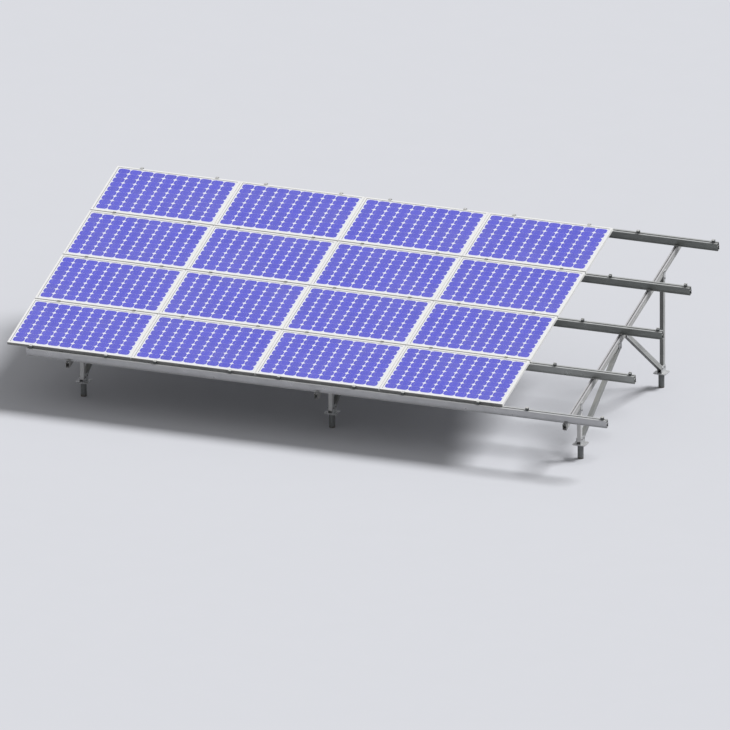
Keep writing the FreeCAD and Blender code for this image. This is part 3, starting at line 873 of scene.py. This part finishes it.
@dataclass(frozen=True)
class HexBolt:
    """A through bolt with a washer at each end, sizes in metres."""

    flats: float = 0.0095  # half of the width across flats
    head: float = 0.0075  # height of the head
    nut: float = 0.010  # height of the nut
    shank: float = 0.006  # radius of the thread
    washer: float = 0.012  # radius of the washers
    washer_height: float = 0.0022  # their thickness
    spare: float = 0.006  # thread that stands past the nut
    turns: int = 5  # thread turns on that length

    def washer_on(self, maker: MeshMaker, point: Vector, axis: Vector) -> Vector:
        """Adds a washer and returns the point on top of it.

        Args:
            maker: Collects the mesh.
            point: The point that it stands on.
            axis: The way that it points.

        Returns:
            The middle of its top face.
        """
        rim = self.washer_height * 0.2
        maker.ring_stack(facing(point, axis), [
            (Ring.ROUND, self.washer - rim, 0.0),
            (Ring.ROUND, self.washer, rim),
            (Ring.ROUND, self.washer, self.washer_height - rim),
            (Ring.ROUND, self.washer - rim, self.washer_height),
        ])
        return point + axis.normalized() * self.washer_height

    def head_on(self, maker: MeshMaker, point: Vector, axis: Vector, spin: float) -> None:
        """Adds a washer and a head with its chamfer and shallow dish.

        Args:
            maker: Collects the mesh.
            point: The point that it stands on.
            axis: The way that it points.
            spin: Turn about that axis, in radians.
        """
        seat = self.washer_on(maker, point, axis)
        maker.ring_stack(facing(seat, axis, spin), [
            (Ring.ROUND, self.flats * 0.97, 0.0),
            (Ring.HEX, self.flats, self.head * 0.08),
            (Ring.HEX, self.flats, self.head * 0.80),
            (Ring.ROUND, self.flats * 0.97, self.head),
            (Ring.ROUND, self.flats * 0.78, self.head),
            (Ring.ROUND, self.flats * 0.70, self.head * 0.95),
        ])

    def nut_on(self, maker: MeshMaker, point: Vector, axis: Vector, spin: float) -> None:
        """Adds a washer, a nut and the thread that stands past it.

        Args:
            maker: Collects the mesh.
            point: The point that it stands on.
            axis: The way that it points.
            spin: Turn about that axis, in radians.
        """
        seat = self.washer_on(maker, point, axis)
        rings = [
            (Ring.ROUND, self.flats * 0.97, 0.0),
            (Ring.HEX, self.flats, self.nut * 0.12),
            (Ring.HEX, self.flats, self.nut * 0.84),
            (Ring.ROUND, self.flats * 0.97, self.nut),
            (Ring.ROUND, self.shank * 1.08, self.nut),
        ]
        pitch = self.spare / self.turns
        for turn in range(self.turns):
            rings.append((Ring.ROUND, self.shank * 0.90, self.nut + pitch * turn))
            rings.append((Ring.ROUND, self.shank, self.nut + pitch * (turn + 0.5)))
        rings.append((Ring.ROUND, self.shank * 0.85, self.nut + self.spare))
        maker.ring_stack(facing(seat, axis, spin), rings)

    def through(self, maker: MeshMaker, middle: Vector, axis: Vector, half_grip: float, spin: float) -> None:
        """Adds head and nut on both sides of a grip.

        Args:
            maker: Where the bolt goes.
            middle: Middle of the grip.
            axis: The way from the nut to the head.
            half_grip: Half of the thickness that the bolt holds.
            spin: Turn of the hexagons, in radians.
        """
        way = axis.normalized()
        self.head_on(maker, middle + way * half_grip, way, spin)
        self.nut_on(maker, middle - way * half_grip, -way, spin * 1.7)


@dataclass(frozen=True)
class SocketScrew:
    """A cap screw with a hexagon socket, sizes in metres."""

    radius: float = 0.0062  # radius of the head
    head: float = 0.0078  # height of the head
    socket: float = 0.003  # half of the socket's width across flats
    socket_depth: float = 0.004  # depth of the socket

    def add(self, maker: MeshMaker, point: Vector, axis: Vector, spin: float) -> None:
        """Adds the head, which stands on a point along an axis.

        Args:
            maker: Collects the mesh.
            point: The point that it stands on.
            axis: The way that it points.
            spin: Turn about that axis, in radians.
        """
        edge = self.radius * 0.10
        maker.ring_stack(facing(point, axis, spin), [
            (Ring.ROUND, self.radius, 0.0),
            (Ring.ROUND, self.radius, self.head - edge),
            (Ring.ROUND, self.radius - edge, self.head),
            (Ring.ROUND, self.socket * 1.2, self.head),
            (Ring.HEX, self.socket, self.head - self.socket * 0.1),
            (Ring.HEX, self.socket, self.head - self.socket_depth),
        ])


@dataclass(frozen=True)
class SlotNut:
    """A rectangular nut that sits under the lips of a slot, sizes in metres."""

    length: float  # size along u
    width: float  # size along v
    height: float  # thickness
    lip: float  # thickness of the slot's lip

    def add(self, maker: MeshMaker, axes: TableAxes, u: float, v: float, slot_top: float) -> None:
        """Adds one nut below the top face of its slot.

        Args:
            maker: Collects the mesh.
            axes: The axes of the table.
            u: Its place across.
            v: Its place up the slope.
            slot_top: Height of the slot's top face.
        """
        a = self.length / 2
        b = self.width / 2
        w = slot_top - self.lip - self.height
        corners = [(u - a, v - b), (u + a, v - b), (u + a, v + b), (u - a, v + b)]
        maker.plate([axes.world(*corner, w) for corner in corners], axes.normal * self.height)


# Sub-assemblies


@dataclass
class CellField:
    """Cells and ribbons on the laminates of one row."""

    row: int  # the row's number from the low edge, from one
    columns: int = 10  # cells across a module
    lines: int = 9  # cells up a module
    side_margin: float = 0.0419  # white border from the laminate's end to the first cell
    low_margin: float = 0.0429  # the same, at its long sides
    column_gap: float = 0.0060  # gap between two cells across
    line_gap: float = 0.0014  # gap between two cells up the slope
    corner_u: float = 0.028  # length that a cut corner takes from a cell's side across
    corner_v: float = 0.023  # the same, up the slope
    corner_steps: int = 3  # straight steps in a corner's arc
    thickness: float = 0.0003  # height that a cell stands above the backsheet
    ribbons: int = 2  # ribbons on a cell
    ribbon_width: float = 0.0012  # width of a ribbon
    ribbon_overlap: float = 0.004  # length that a ribbon runs past the outer cells

    def build(
        self, axes: TableAxes, nodes: Nodes, cells: bpy.types.Material, tin: bpy.types.Material
    ) -> None:
        """Builds the two pieces of the row.

        Args:
            axes: The table's axes.
            nodes: The solids.
            cells: Finish of the cells.
            tin: Finish of the ribbons.
        """
        draw = random.Random(SEED + self.row)
        cell_maker = MeshMaker()
        ribbon_maker = MeshMaker()
        for slab in loose_solids(nodes[f"module_laminates_row_{self.row}"], axes):
            self._module(axes, slab, cell_maker, ribbon_maker, draw)
        cell_maker.piece(f"cells_row_{self.row}", "laminate", cells)
        ribbon_maker.piece(f"cell_ribbons_row_{self.row}", "laminate", tin)

    def _module(
        self, axes: TableAxes, slab: Slab, cells: MeshMaker, ribbons: MeshMaker, draw: random.Random
    ) -> None:
        """Adds the cells and ribbons of one module.

        Args:
            axes: The axes of the table.
            slab: Box of the module's laminate.
            cells: Collects the cells.
            ribbons: Collects the ribbons.
            draw: Source of the random numbers.
        """
        step_u = (slab.high.x - slab.low.x - 2 * self.side_margin) / self.columns
        step_v = (slab.high.y - slab.low.y - 2 * self.low_margin) / self.lines
        rise = axes.normal * self.thickness
        corners = self._outline((step_u - self.column_gap) / 2, (step_v - self.line_gap) / 2)
        low = slab.low.y + self.low_margin - self.ribbon_overlap
        high = slab.high.y - self.low_margin + self.ribbon_overlap
        half = self.ribbon_width / 2
        for column in range(self.columns):
            u = slab.low.x + self.side_margin + (column + 0.5) * step_u
            for line in range(self.lines):
                v = slab.low.y + self.low_margin + (line + 0.5) * step_v
                cells.plate([axes.world(u + a, v + b, slab.high.z) for a, b in corners], rise, draw.random())
            for number in range(self.ribbons):
                across = u + ((number + 0.5) / self.ribbons - 0.5) * step_u
                left, right = across - half, across + half
                strip = [(left, low), (right, low), (right, high), (left, high)]
                w = slab.high.z + self.thickness / 2
                ribbons.plate([axes.world(a, b, w) for a, b in strip], rise)

    def _outline(self, half_u: float, half_v: float) -> list[tuple[float, float]]:
        """Outline of a cell about its middle, with corners that lie on one ellipse.

        Args:
            half_u: Half of its size across.
            half_v: Half of its size up the slope.

        Returns:
            Its corners, anticlockwise from above.
        """
        reach_u = half_u - self.corner_u
        reach_v = half_v - self.corner_v
        scale = (half_u * half_v) ** 2 - (reach_u * reach_v) ** 2
        long_axis = math.sqrt(scale / (half_v**2 - reach_v**2))
        short_axis = math.sqrt(scale / (half_u**2 - reach_u**2))
        first = math.acos(half_u / long_axis)
        last = math.acos(reach_u / long_axis)
        outline = []
        for quarter in range(4):
            for step in range(self.corner_steps + 1):
                share = step / self.corner_steps
                angle = first + (last - first) * (share if quarter % 2 == 0 else 1 - share)
                sign_u = 1 if quarter in (0, 3) else -1
                sign_v = 1 if quarter in (0, 1) else -1
                outline.append((sign_u * long_axis * math.cos(angle), sign_v * short_axis * math.sin(angle)))
        return outline


@dataclass
class LaminateSeals:
    """Beads of sealant between the laminates and the frame lips of one row, wider at the left and high sides
    as painted shade of the lips' inner walls.
    """

    row: int  # the row's number from the low edge, from one
    inset: float = 0.023  # from the laminate's edge in to the frame's lip
    tuck: float = 0.0002  # width of the bead that is hidden under the lip's edge
    wide: float = 0.0055  # width that shows at the left and high sides, wider there as painted shade
    narrow: float = 0.0014  # width that shows at the right and low sides
    flat: float = 0.45  # share of that width that is level, before the bead slopes down
    height: float = 0.0014  # height of the bead above the glass, less than the lip's

    def build(self, axes: TableAxes, nodes: Nodes, sealant: bpy.types.Material) -> None:
        """Builds the beads of the row as one piece.

        Args:
            axes: The axes of the table.
            nodes: The solids, by name.
            sealant: Finish of the beads.
        """
        maker = MeshMaker()
        for slab in loose_solids(nodes[f"module_laminates_row_{self.row}"], axes):
            lefts, rights, lows, highs = [], [], [], []
            for share, rise in ((1.0, 0.0), (self.flat, self.height), (None, self.height), (None, 0.0)):
                wide = self.inset + (-self.tuck if share is None else self.wide * share)
                narrow = self.inset + (-self.tuck if share is None else self.narrow * share)
                lefts.append((slab.low.x + wide, rise))
                rights.append((slab.high.x - narrow, rise))
                lows.append((slab.low.y + narrow, rise))
                highs.append((slab.high.y - wide, rise))
            corners = ((lefts, lows), (rights, lows), (rights, highs), (lefts, highs))
            maker.loop_band([
                [axes.world(u, v, slab.high.z + rise) for (u, rise), (v, _) in zip(across, up, strict=True)]
                for across, up in corners
            ])
        maker.piece(f"laminate_seals_row_{self.row}", "module_frame", sealant)


@dataclass
class ClampScrews:
    """Screws and slot nuts of the module clamps."""

    floor: float = 0.003  # height of a mid clamp's floor above the rail
    reach: float = 0.009  # length of an end clamp's lip over the module frame
    cap: SocketScrew = SocketScrew()  # screw in the floor of a mid clamp
    # flat screw on top of an end clamp
    low_cap: SocketScrew = SocketScrew(radius=0.0068, head=0.0017, socket=0.0025, socket_depth=0.0014)
    nut: SlotNut = SlotNut(length=0.030, width=0.025, height=0.006, lip=0.0035)  # nut in the rail's slot

    def build(self, axes: TableAxes, nodes: Nodes, steel: bpy.types.Material) -> None:
        """Builds the screws of all clamps, and the nuts in the slots under them.

        Args:
            axes: The axes of the table.
            nodes: The solids, by name.
            steel: Finish of the screws and nuts.
        """
        draw = random.Random(SEED)
        screws = MeshMaker()
        nuts = MeshMaker()
        for slab in loose_solids(nodes["mid_clamps"], axes):
            point = axes.world(slab.middle.x, slab.middle.y, slab.low.z + self.floor)
            self.cap.add(screws, point, axes.normal, draw.uniform(0, math.tau))
            self.nut.add(nuts, axes, slab.middle.x, slab.middle.y, slab.low.z)
        screws.piece("mid_clamp_screws", "clamp", steel, SMOOTH_ANGLE)
        for name, inward in (("low_end_clamp", 1), ("high_end_clamp", -1)):
            screws = MeshMaker()
            for slab in loose_solids(nodes[name + "s"], axes):
                v = slab.middle.y - inward * self.reach / 2
                point = axes.world(slab.middle.x, v, slab.high.z)
                self.low_cap.add(screws, point, axes.normal, draw.uniform(0, math.tau))
                self.nut.add(nuts, axes, slab.middle.x, v, slab.low.z)
            screws.piece(name + "_screws", "clamp", steel, SMOOTH_ANGLE)
        nuts.piece("rail_slot_nuts", "clamp", steel)


@dataclass
class CleatBolts:
    """Bolts that hold the rail cleats down on the beams, with their nuts in the beam slot."""

    # the bolt, of which the head and washer show
    bolt: HexBolt = HexBolt(flats=0.0065, head=0.0053, washer=0.0085, washer_height=0.0016)
    body: float = 0.024  # size of a cleat's body up the slope, outside the rail
    nut: SlotNut = SlotNut(length=0.023, width=0.026, height=0.005, lip=0.003)  # nut in the beam's slot

    def build(self, axes: TableAxes, nodes: Nodes, steel: bpy.types.Material) -> None:
        """Builds one head and washer on each cleat, and one nut under it.

        Args:
            axes: The axes of the table.
            nodes: The solids, by name.
            steel: Finish of the bolts and nuts.
        """
        draw = random.Random(SEED)
        heads = MeshMaker()
        nuts = MeshMaker()
        rails = [loose_solids(nodes[f"rail_{number}"], axes)[0].middle.y for number in range(1, RAILS + 1)]
        for slab in loose_solids(nodes["rail_cleats"], axes):
            rail = min(rails, key=lambda place: abs(place - slab.middle.y))
            below = slab.middle.y < rail
            v = slab.low.y + self.body / 2 if below else slab.high.y - self.body / 2
            point = axes.world(slab.middle.x, v, slab.high.z)
            self.bolt.head_on(heads, point, axes.normal, draw.uniform(0, math.tau))
            self.nut.add(nuts, axes, slab.middle.x, v, slab.low.z)
        heads.piece("cleat_bolts", "bracket", steel, SMOOTH_ANGLE)
        nuts.piece("beam_slot_nuts", "bracket", steel)


@dataclass
class FrameBolts:
    """Through bolts of one support frame, at its feet and under its beam."""

    side: Side  # which of the three frames
    plate: float = 0.005  # thickness of the bracket plates
    tube: float = 0.050  # width of the tubes and of the beam
    foot_bolt_height: float = 0.062  # height of the foot bolts above the flange
    leg_offset: float = 0.035  # from the ground screw's axis out to the leg
    brace_offset: float = 0.040  # from the ground screw's axis in to the brace bolt
    anchor_offset: float = 0.055  # from the ground screw's axis to an anchor bolt
    flange: float = 0.010  # thickness of the ground screw's flange
    leg_bolt_drop: float = 0.045  # from the beam's underside down to the leg's top bolt
    brace_spread: float = 0.140  # from the table's middle to a brace's top bolt
    brace_drop: float = 0.035  # from the beam's underside down to it
    plate_half: float = 0.045  # half of the width of a brace plate
    bolt: HexBolt = HexBolt()  # the bolt that all of them are

    def build(self, axes: TableAxes, nodes: Nodes, steel: bpy.types.Material) -> None:
        """Builds the bolts of the frame as one piece at the feet and one at the beam.

        Args:
            axes: The axes of the table.
            nodes: The solids, by name.
            steel: Finish of the bolts.
        """
        draw = random.Random(SEED + len(self.side.value))
        feet = MeshMaker()
        heads = MeshMaker()
        beam = loose_solids(nodes["beam_" + self.side.value], axes)[0]
        across = Vector((1, 0, 0))
        grip = self.tube / 2 + self.plate
        stack = (self.flange + self.plate) / 2
        for end in End:
            low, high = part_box(f"ground_screw_{end.word}_{self.side.value}")
            x = (low.x + high.x) / 2
            y = (low.y + high.y) / 2
            leg_y = y + end.value * self.leg_offset
            for bolt_y in (leg_y, y - end.value * self.brace_offset):
                middle = Vector((x, bolt_y, high.z + self.foot_bolt_height))
                self.bolt.through(feet, middle, across, grip, draw.uniform(0, 1))
            for way in (-1, 1):
                middle = Vector((x, y + way * self.anchor_offset, high.z + self.plate - stack))
                self.bolt.through(feet, middle, Vector((0, 0, 1)), stack, draw.uniform(0, 1))
            for w, drop in ((beam.low.z, self.leg_bolt_drop), (beam.middle.z, 0.0)):
                middle = Vector((x, leg_y, axes.height_over(leg_y, w) - drop))
                self.bolt.through(heads, middle, across, grip, draw.uniform(0, 1))
            v = beam.middle.y + end.value * self.brace_spread
            places = [
                (v, beam.low.z - self.brace_drop),
                (v - self.plate_half / 2, beam.middle.z),
                (v + self.plate_half / 2, beam.middle.z),
            ]
            for place_v, place_w in places:
                middle = axes.world(beam.middle.x, place_v, place_w)
                self.bolt.through(heads, middle, across, grip, draw.uniform(0, 1))
        feet.piece("foot_bolts_" + self.side.value, "bracket", steel, SMOOTH_ANGLE)
        heads.piece("beam_bolts_" + self.side.value, "bracket", steel, SMOOTH_ANGLE)


@dataclass
class FlangeWelds:
    """Fillet welds between the ground screws' tubes and their flanges."""

    tube: float = 0.038  # outer radius of a ground screw's tube
    flange: float = 0.010  # thickness of the flange
    leg: float = 0.006  # leg length of the weld
    ripple: float = 0.14  # share by which the bead swells and shrinks
    beads: int = 36  # ripples round the tube
    steps: int = 144  # cross sections round the tube

    def build(self, zinc: bpy.types.Material) -> None:
        """Builds the welds of all six ground screws as one piece.

        Args:
            zinc: Finish of the ground screws.
        """
        maker = MeshMaker()
        for side in Side:
            for end in End:
                low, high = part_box(f"ground_screw_{end.word}_{side.value}")
                centre = Vector(((low.x + high.x) / 2, (low.y + high.y) / 2, high.z - self.flange))
                maker.loop_band([self._section(centre, step) for step in range(self.steps)])
        maker.piece("flange_welds", "ground_screw", zinc, WELD_SMOOTH_ANGLE)

    def _section(self, centre: Vector, step: int) -> list[Vector]:
        """Points of one cross section, from inside the tube wall round the face of the bead.

        Args:
            centre: Middle of the tube, at the flange.
            step: Number of the section round the tube.

        Returns:
            The points, in order.
        """
        angle = math.tau * step / self.steps
        size = self.leg * (1 + self.ripple * math.sin(self.beads * angle))
        outline = [(-self.leg / 3, 0.0), (-self.leg / 3, -size), (0.0, -size)]
        outline += [(size * math.sin(turn), -size * math.cos(turn)) for turn in (0.5, 1.0)]
        outline += [(size, 0.0)]
        way = Vector((math.cos(angle), math.sin(angle), 0.0))
        return [centre + way * (self.tube + out) + Vector((0, 0, down)) for out, down in outline]


@dataclass
class BoxFittings:
    """Lid screws and glands of the junction boxes."""

    lid_half_u: float = 0.053  # half of the lid's size across
    lid_half_v: float = 0.043  # half of the lid's size up the slope
    screw_inset: float = 0.007  # from the lid's edge to a screw
    box_half: float = 0.050  # half of the box's size up the slope
    gland_spacing: float = 0.050  # distance between the two glands
    gland_drop: float = 0.0075  # from the laminate's underside down to a gland's middle
    gland_flats: float = 0.0085  # half of the gland nut's width across flats
    gland_radius: float = 0.0074  # radius of the gland's cap
    gland_length: float = 0.0175  # length that the gland stands out
    # the lid screw
    screw: SocketScrew = SocketScrew(radius=0.0032, head=0.0016, socket=0.0012, socket_depth=0.001)

    def build(
        self, axes: TableAxes, nodes: Nodes, steel: bpy.types.Material, plastic: bpy.types.Material
    ) -> None:
        """Builds the screws as one piece and the glands as another.

        Args:
            axes: The axes of the table.
            nodes: The solids, by name.
            steel: Finish of the screws.
            plastic: Finish of the junction boxes.
        """
        draw = random.Random(SEED)
        screws = MeshMaker()
        glands = MeshMaker()
        for slab in loose_solids(nodes["junction_boxes"], axes):
            middle_v = slab.high.y - self.box_half
            for side_u in (-1, 1):
                for side_v in (-1, 1):
                    u = slab.middle.x + side_u * (self.lid_half_u - self.screw_inset)
                    v = middle_v + side_v * (self.lid_half_v - self.screw_inset)
                    point = axes.world(u, v, slab.low.z)
                    self.screw.add(screws, point, -axes.normal, draw.uniform(0, math.tau))
                u = slab.middle.x + side_u * self.gland_spacing / 2
                point = axes.world(u, middle_v - self.box_half, slab.high.z - self.gland_drop)
                self._gland(glands, facing(point, -axes.up_slope))
        screws.piece("box_lid_screws", "junction_box", steel, SMOOTH_ANGLE)
        glands.piece("box_glands", "junction_box", plastic, SMOOTH_ANGLE)

    def _gland(self, maker: MeshMaker, at: Matrix) -> None:
        """Adds a gland: a hexagonal nut and a round cap, closed by a blind plug.

        Args:
            maker: Collects the mesh.
            at: Its place and the way that it points.
        """
        nut = self.gland_length * 0.35
        maker.ring_stack(at, [
            (Ring.HEX, self.gland_flats, 0.0),
            (Ring.HEX, self.gland_flats, nut),
            (Ring.ROUND, self.gland_radius, nut * 1.15),
            (Ring.ROUND, self.gland_radius, self.gland_length * 0.88),
            (Ring.ROUND, self.gland_radius * 0.85, self.gland_length),
            (Ring.ROUND, self.gland_radius * 0.45, self.gland_length),
            (Ring.ROUND, self.gland_radius * 0.40, self.gland_length * 0.93),
        ])


@dataclass
class SolidFinishes:
    """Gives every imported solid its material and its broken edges."""

    shelf: GroupShelf  # the shared shader groups
    edge: float = 0.0006  # width of the small bevel on the sharp edges
    sharp: float = 35.0  # angle in degrees from which an edge gets it
    merge: float = 1e-5  # distance at which two corners of a solid become one

    def materials(self) -> dict[str, bpy.types.Material]:
        """Builds the materials, by the record's slot or by the nodes that differ from it.

        Returns:
            The materials.
        """
        along_beam = (260.0, 1.5, 260.0)
        upright = (260.0, 260.0, 2.0)
        # pale colour of the painted highlight on the rails' top faces
        rail_top_highlight = (0.60, 0.61, 0.60, 1.0)
        # rails 3 to 5: dark base colour as painted shade on their fronts, and dense dust that is mostly a
        # painted highlight on their tops
        rail = DrawnAluminium(
            "rail_aluminium", (0.22, 0.23, 0.22), 0.32,
            metallic=0.8, dust=0.9, cover=0.75, dust_colour=rail_top_highlight, grime=0.5,
        )
        frame = Anodised("module_frame_anodised", (0.96, 0.96, 0.95), 0.38)
        tube = DrawnAluminium("tube_aluminium", (0.50, 0.51, 0.50), 0.38, upright, metallic=0.25)
        finishes = {
            "module_frame": frame,
            # lowest row of frames: stronger painted shade on the walls that look down the slope
            "module_frames_row_1": replace(frame, name="module_frame_low_edge", run_off=0.70),
            "laminate": Backsheet("backsheet_under_glass", (0.92, 0.93, 1.0), 0.55),
            "junction_box": Polymer("junction_box_plastic", (0.012, 0.012, 0.013), 0.5),
            "rail": rail,
            # rails 1 and 2: lighter copies of the rail finish as painted light for what their fronts reflect,
            # rail 1 the lightest
            "rail_1": replace(rail, name="rail_aluminium_bright", colour=(0.53, 0.53, 0.54)),
            "rail_2": replace(rail, name="rail_aluminium_middle", colour=(0.34, 0.35, 0.34)),
            # clamps: dark base colour as painted shade on their sides, and dense pale dust that is mostly a
            # painted highlight on their tops
            "clamp": DrawnAluminium(
                "clamp_aluminium", (0.14, 0.15, 0.15), 0.38,
                dust=0.85, cover=0.85, dust_colour=(0.70, 0.70, 0.68, 1.0), grime=0.25,
            ),
            # beams: dense pale dust on their top lips, part dust and part painted highlight
            "beam": DrawnAluminium(
                "beam_aluminium", (0.46, 0.46, 0.45), 0.36, along_beam, TABLE_TILT,
                metallic=0.2, dust=0.8, cover=0.8, dust_colour=(0.66, 0.65, 0.68, 1.0), grime=1.0,
            ),
            # tubes: painted shade on their undersides
            "tube": replace(tube, under=0.95, metallic=0.15),
            # front legs: lighter copy as painted light; front braces: darker copy as painted shade, also
            # underneath; rear legs: painted shade on their walls that look down the slope
            "front_leg": replace(tube, name="tube_aluminium_bright", colour=(0.78, 0.78, 0.78)),
            "front_brace": replace(tube, name="tube_aluminium_middle", colour=(0.34, 0.35, 0.34), under=0.6),
            "rear_leg": replace(tube, name="tube_aluminium_dull", wall=0.6),
            "ground_screw": HotDip(
                "ground_screw_zinc", (0.50, 0.51, 0.52), 0.46, metallic=0.3, splash=0.07, stained=0.185,
            ),
            "bracket": HotDip("bracket_zinc", (0.58, 0.59, 0.60), 0.44, metallic=0.3),
        }
        return {key: finish.material(self.shelf) for key, finish in finishes.items()}

    def dress(self, frame: dict, materials: dict[str, bpy.types.Material]) -> None:
        """Assigns the materials by the record's table of nodes and slots.

        Args:
            materials: Slot, node name or kind of node to material.
        """
        slots = {part["node"]: part["material_slot"] for part in frame["record"]["subparts"]}
        for name, solid in frame["nodes"].items():
            slot = slots[name]
            kind = name.rsplit("_", 1)[0] if name.startswith(("front_", "rear_")) else name
            solid.data.materials.clear()
            solid.data.materials.append(materials.get(kind) or materials[slot])
            if slot not in ("laminate", "module_frame"):
                self._break_edges(solid)
            LOG.info("dressed %s as %s", name, slot)

    def _break_edges(self, solid: bpy.types.Object) -> None:
        """Adds a small bevel to the sharp edges of a solid, by modifiers alone.

        Args:
            solid: The node's object.
        """
        weld = solid.modifiers.new("weld", "WELD")
        weld.merge_threshold = self.merge
        bevel = solid.modifiers.new("edges", "BEVEL")
        bevel.width = self.edge
        bevel.segments = 2
        bevel.limit_method = "ANGLE"
        bevel.angle_limit = math.radians(self.sharp)
        bevel.use_clamp_overlap = False
        solid.modifiers.new("normals", "WEIGHTED_NORMAL")


# Studio


@dataclass
class Studio:
    """Camera, floor, lamp and background."""

    azimuth: float = 20.692  # way that the camera looks, in degrees from +Y
    elevation: float = 19.428  # its height above the horizon, in degrees
    scale: float = 80.358  # photo pixels to a metre
    # photo pixel of the low left corner of the modules' top face
    corner_px: tuple[float, float] = (7.10, 342.02)
    distance: float = 30.0  # from the camera to the plane of that corner
    background: Colour = (0.72, 0.73, 0.77)  # colour that camera and reflections see behind everything
    floor: Colour = (0.66, 0.67, 0.71)  # colour of the floor
    fill: float = 0.34  # strength of the even light from all round
    sun: float = 2.9  # strength of the key light
    sun_from: Triple = (0.45, 0.42, 0.79)  # where the key light comes from
    sun_size: float = 22.0  # its angle across, in degrees
    floor_size: float = 120.0  # length and width of the floor
    floor_drop: float = 0.0005  # from the ground screws' ends down to the floor
    sight: float = 200.0  # how far the camera sees

    def build(self, shelf: GroupShelf, axes: TableAxes) -> None:
        """Builds everything that isn't part of the object.

        Args:
            shelf: The shader groups.
            axes: The axes of the table.
        """
        self._camera(axes)
        self._floor(shelf)
        self._lamp()
        self._world()

    def _camera(self, axes: TableAxes) -> None:
        """Puts a parallel camera where the photo was taken from.

        Args:
            axes: The axes of the table.
        """
        a = math.radians(self.azimuth)
        e = math.radians(self.elevation)
        right = Vector((math.cos(a), math.sin(a), 0.0))
        up = Vector((-math.sin(a) * math.sin(e), math.cos(a) * math.sin(e), math.cos(e)))
        back = right.cross(up)
        middle = PHOTO_WIDTH / 2
        across = (self.corner_px[0] - middle) / self.scale
        above = (middle - self.corner_px[1]) / self.scale
        data = bpy.data.cameras.new("camera")
        data.type = "ORTHO"
        data.ortho_scale = PHOTO_WIDTH / self.scale
        data.clip_end = self.sight
        camera = bpy.data.objects.new("camera", data)
        camera.location = axes.origin - right * across - up * above + back * self.distance
        camera.rotation_mode = "QUATERNION"
        camera.rotation_quaternion = (-back).to_track_quat("-Z", "Y")
        bpy.context.scene.collection.objects.link(camera)
        bpy.context.scene.camera = camera

    def _floor(self, shelf: GroupShelf) -> None:
        """Makes the floor under the ground screws.

        Args:
            shelf: The shader groups.
        """
        half = self.floor_size / 2
        mesh = bpy.data.meshes.new("floor")
        corners = [(-half, -half, 0.0), (half, -half, 0.0), (half, half, 0.0), (-half, half, 0.0)]
        mesh.from_pydata(corners, [], [(0, 1, 2, 3)])
        floor = bpy.data.objects.new("floor", mesh)
        floor.location.z = -self.floor_drop
        mesh.materials.append(PaleFloor("pale_floor", self.floor, 1.0).material(shelf))
        bpy.context.scene.collection.objects.link(floor)

    def _lamp(self) -> None:
        """Makes the soft key light."""
        data = bpy.data.lights.new("key", "SUN")
        data.energy = self.sun
        data.angle = math.radians(self.sun_size)
        lamp = bpy.data.objects.new("key", data)
        lamp.rotation_mode = "QUATERNION"
        lamp.rotation_quaternion = Vector(self.sun_from).to_track_quat("Z", "Y")
        bpy.context.scene.collection.objects.link(lamp)

    def _world(self) -> None:
        """Makes an even fill light, with a pale background for camera and reflections."""
        world = bpy.data.worlds.new("studio")
        bpy.context.scene.world = world
        world.use_nodes = True
        world.node_tree.nodes.clear()
        sheet = Sheet(world.node_tree)
        light = sheet.add("ShaderNodeBackground", {"Color": (1.0, 1.0, 1.0, 1.0), "Strength": self.fill})
        pale = sheet.add("ShaderNodeBackground", {"Color": (*self.background, 1.0), "Strength": 1.0})
        mix = sheet.add("ShaderNodeMixShader", {0: seen_ray(sheet), 1: light.outputs[0], 2: pale.outputs[0]})
        sheet.add("ShaderNodeOutputWorld", {"Surface": mix.outputs[0]})


def main() -> None:
    """Builds the dressed model, sub-assembly by sub-assembly."""
    logging.basicConfig(level=logging.INFO, format="%(name)s: %(message)s")
    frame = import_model()
    nodes = frame["nodes"]
    axes = TableAxes.from_frame(TABLE_TILT, nodes["module_frames_row_1"])
    bpy.context.scene.view_settings.view_transform = "Standard"

    shelf = GroupShelf()
    shelf.build()
    finishes = SolidFinishes(shelf)
    materials = finishes.materials()
    finishes.dress(frame, materials)

    cells = Silicon("cell_silicon", (0.078, 0.078, 0.69), 0.35, TABLE_TILT).material(shelf)
    tin = BrightMetal("ribbon_tin", (0.45, 0.45, 0.56), 0.40).material(shelf)
    steel = BrightMetal("bolt_steel", (0.30, 0.30, 0.30), 0.34).material(shelf)
    plated = BrightMetal("screw_zinc", (0.80, 0.80, 0.80), 0.42, metallic=0.4).material(shelf)
    # dark sealant beads, wider at the left and high sides as painted shade lines
    sealant = Polymer("laminate_sealant", (0.13, 0.13, 0.11), 0.6).material(shelf)
    for row in range(1, ROWS + 1):
        CellField(row).build(axes, nodes, cells, tin)
        LaminateSeals(row).build(axes, nodes, sealant)
    ClampScrews().build(axes, nodes, plated)
    CleatBolts().build(axes, nodes, steel)
    for side in Side:
        FrameBolts(side).build(axes, nodes, steel)
    FlangeWelds().build(materials["ground_screw"])
    BoxFittings().build(axes, nodes, steel, materials["junction_box"])

    Studio().build(shelf, axes)


if __name__ == "__main__":
    main()
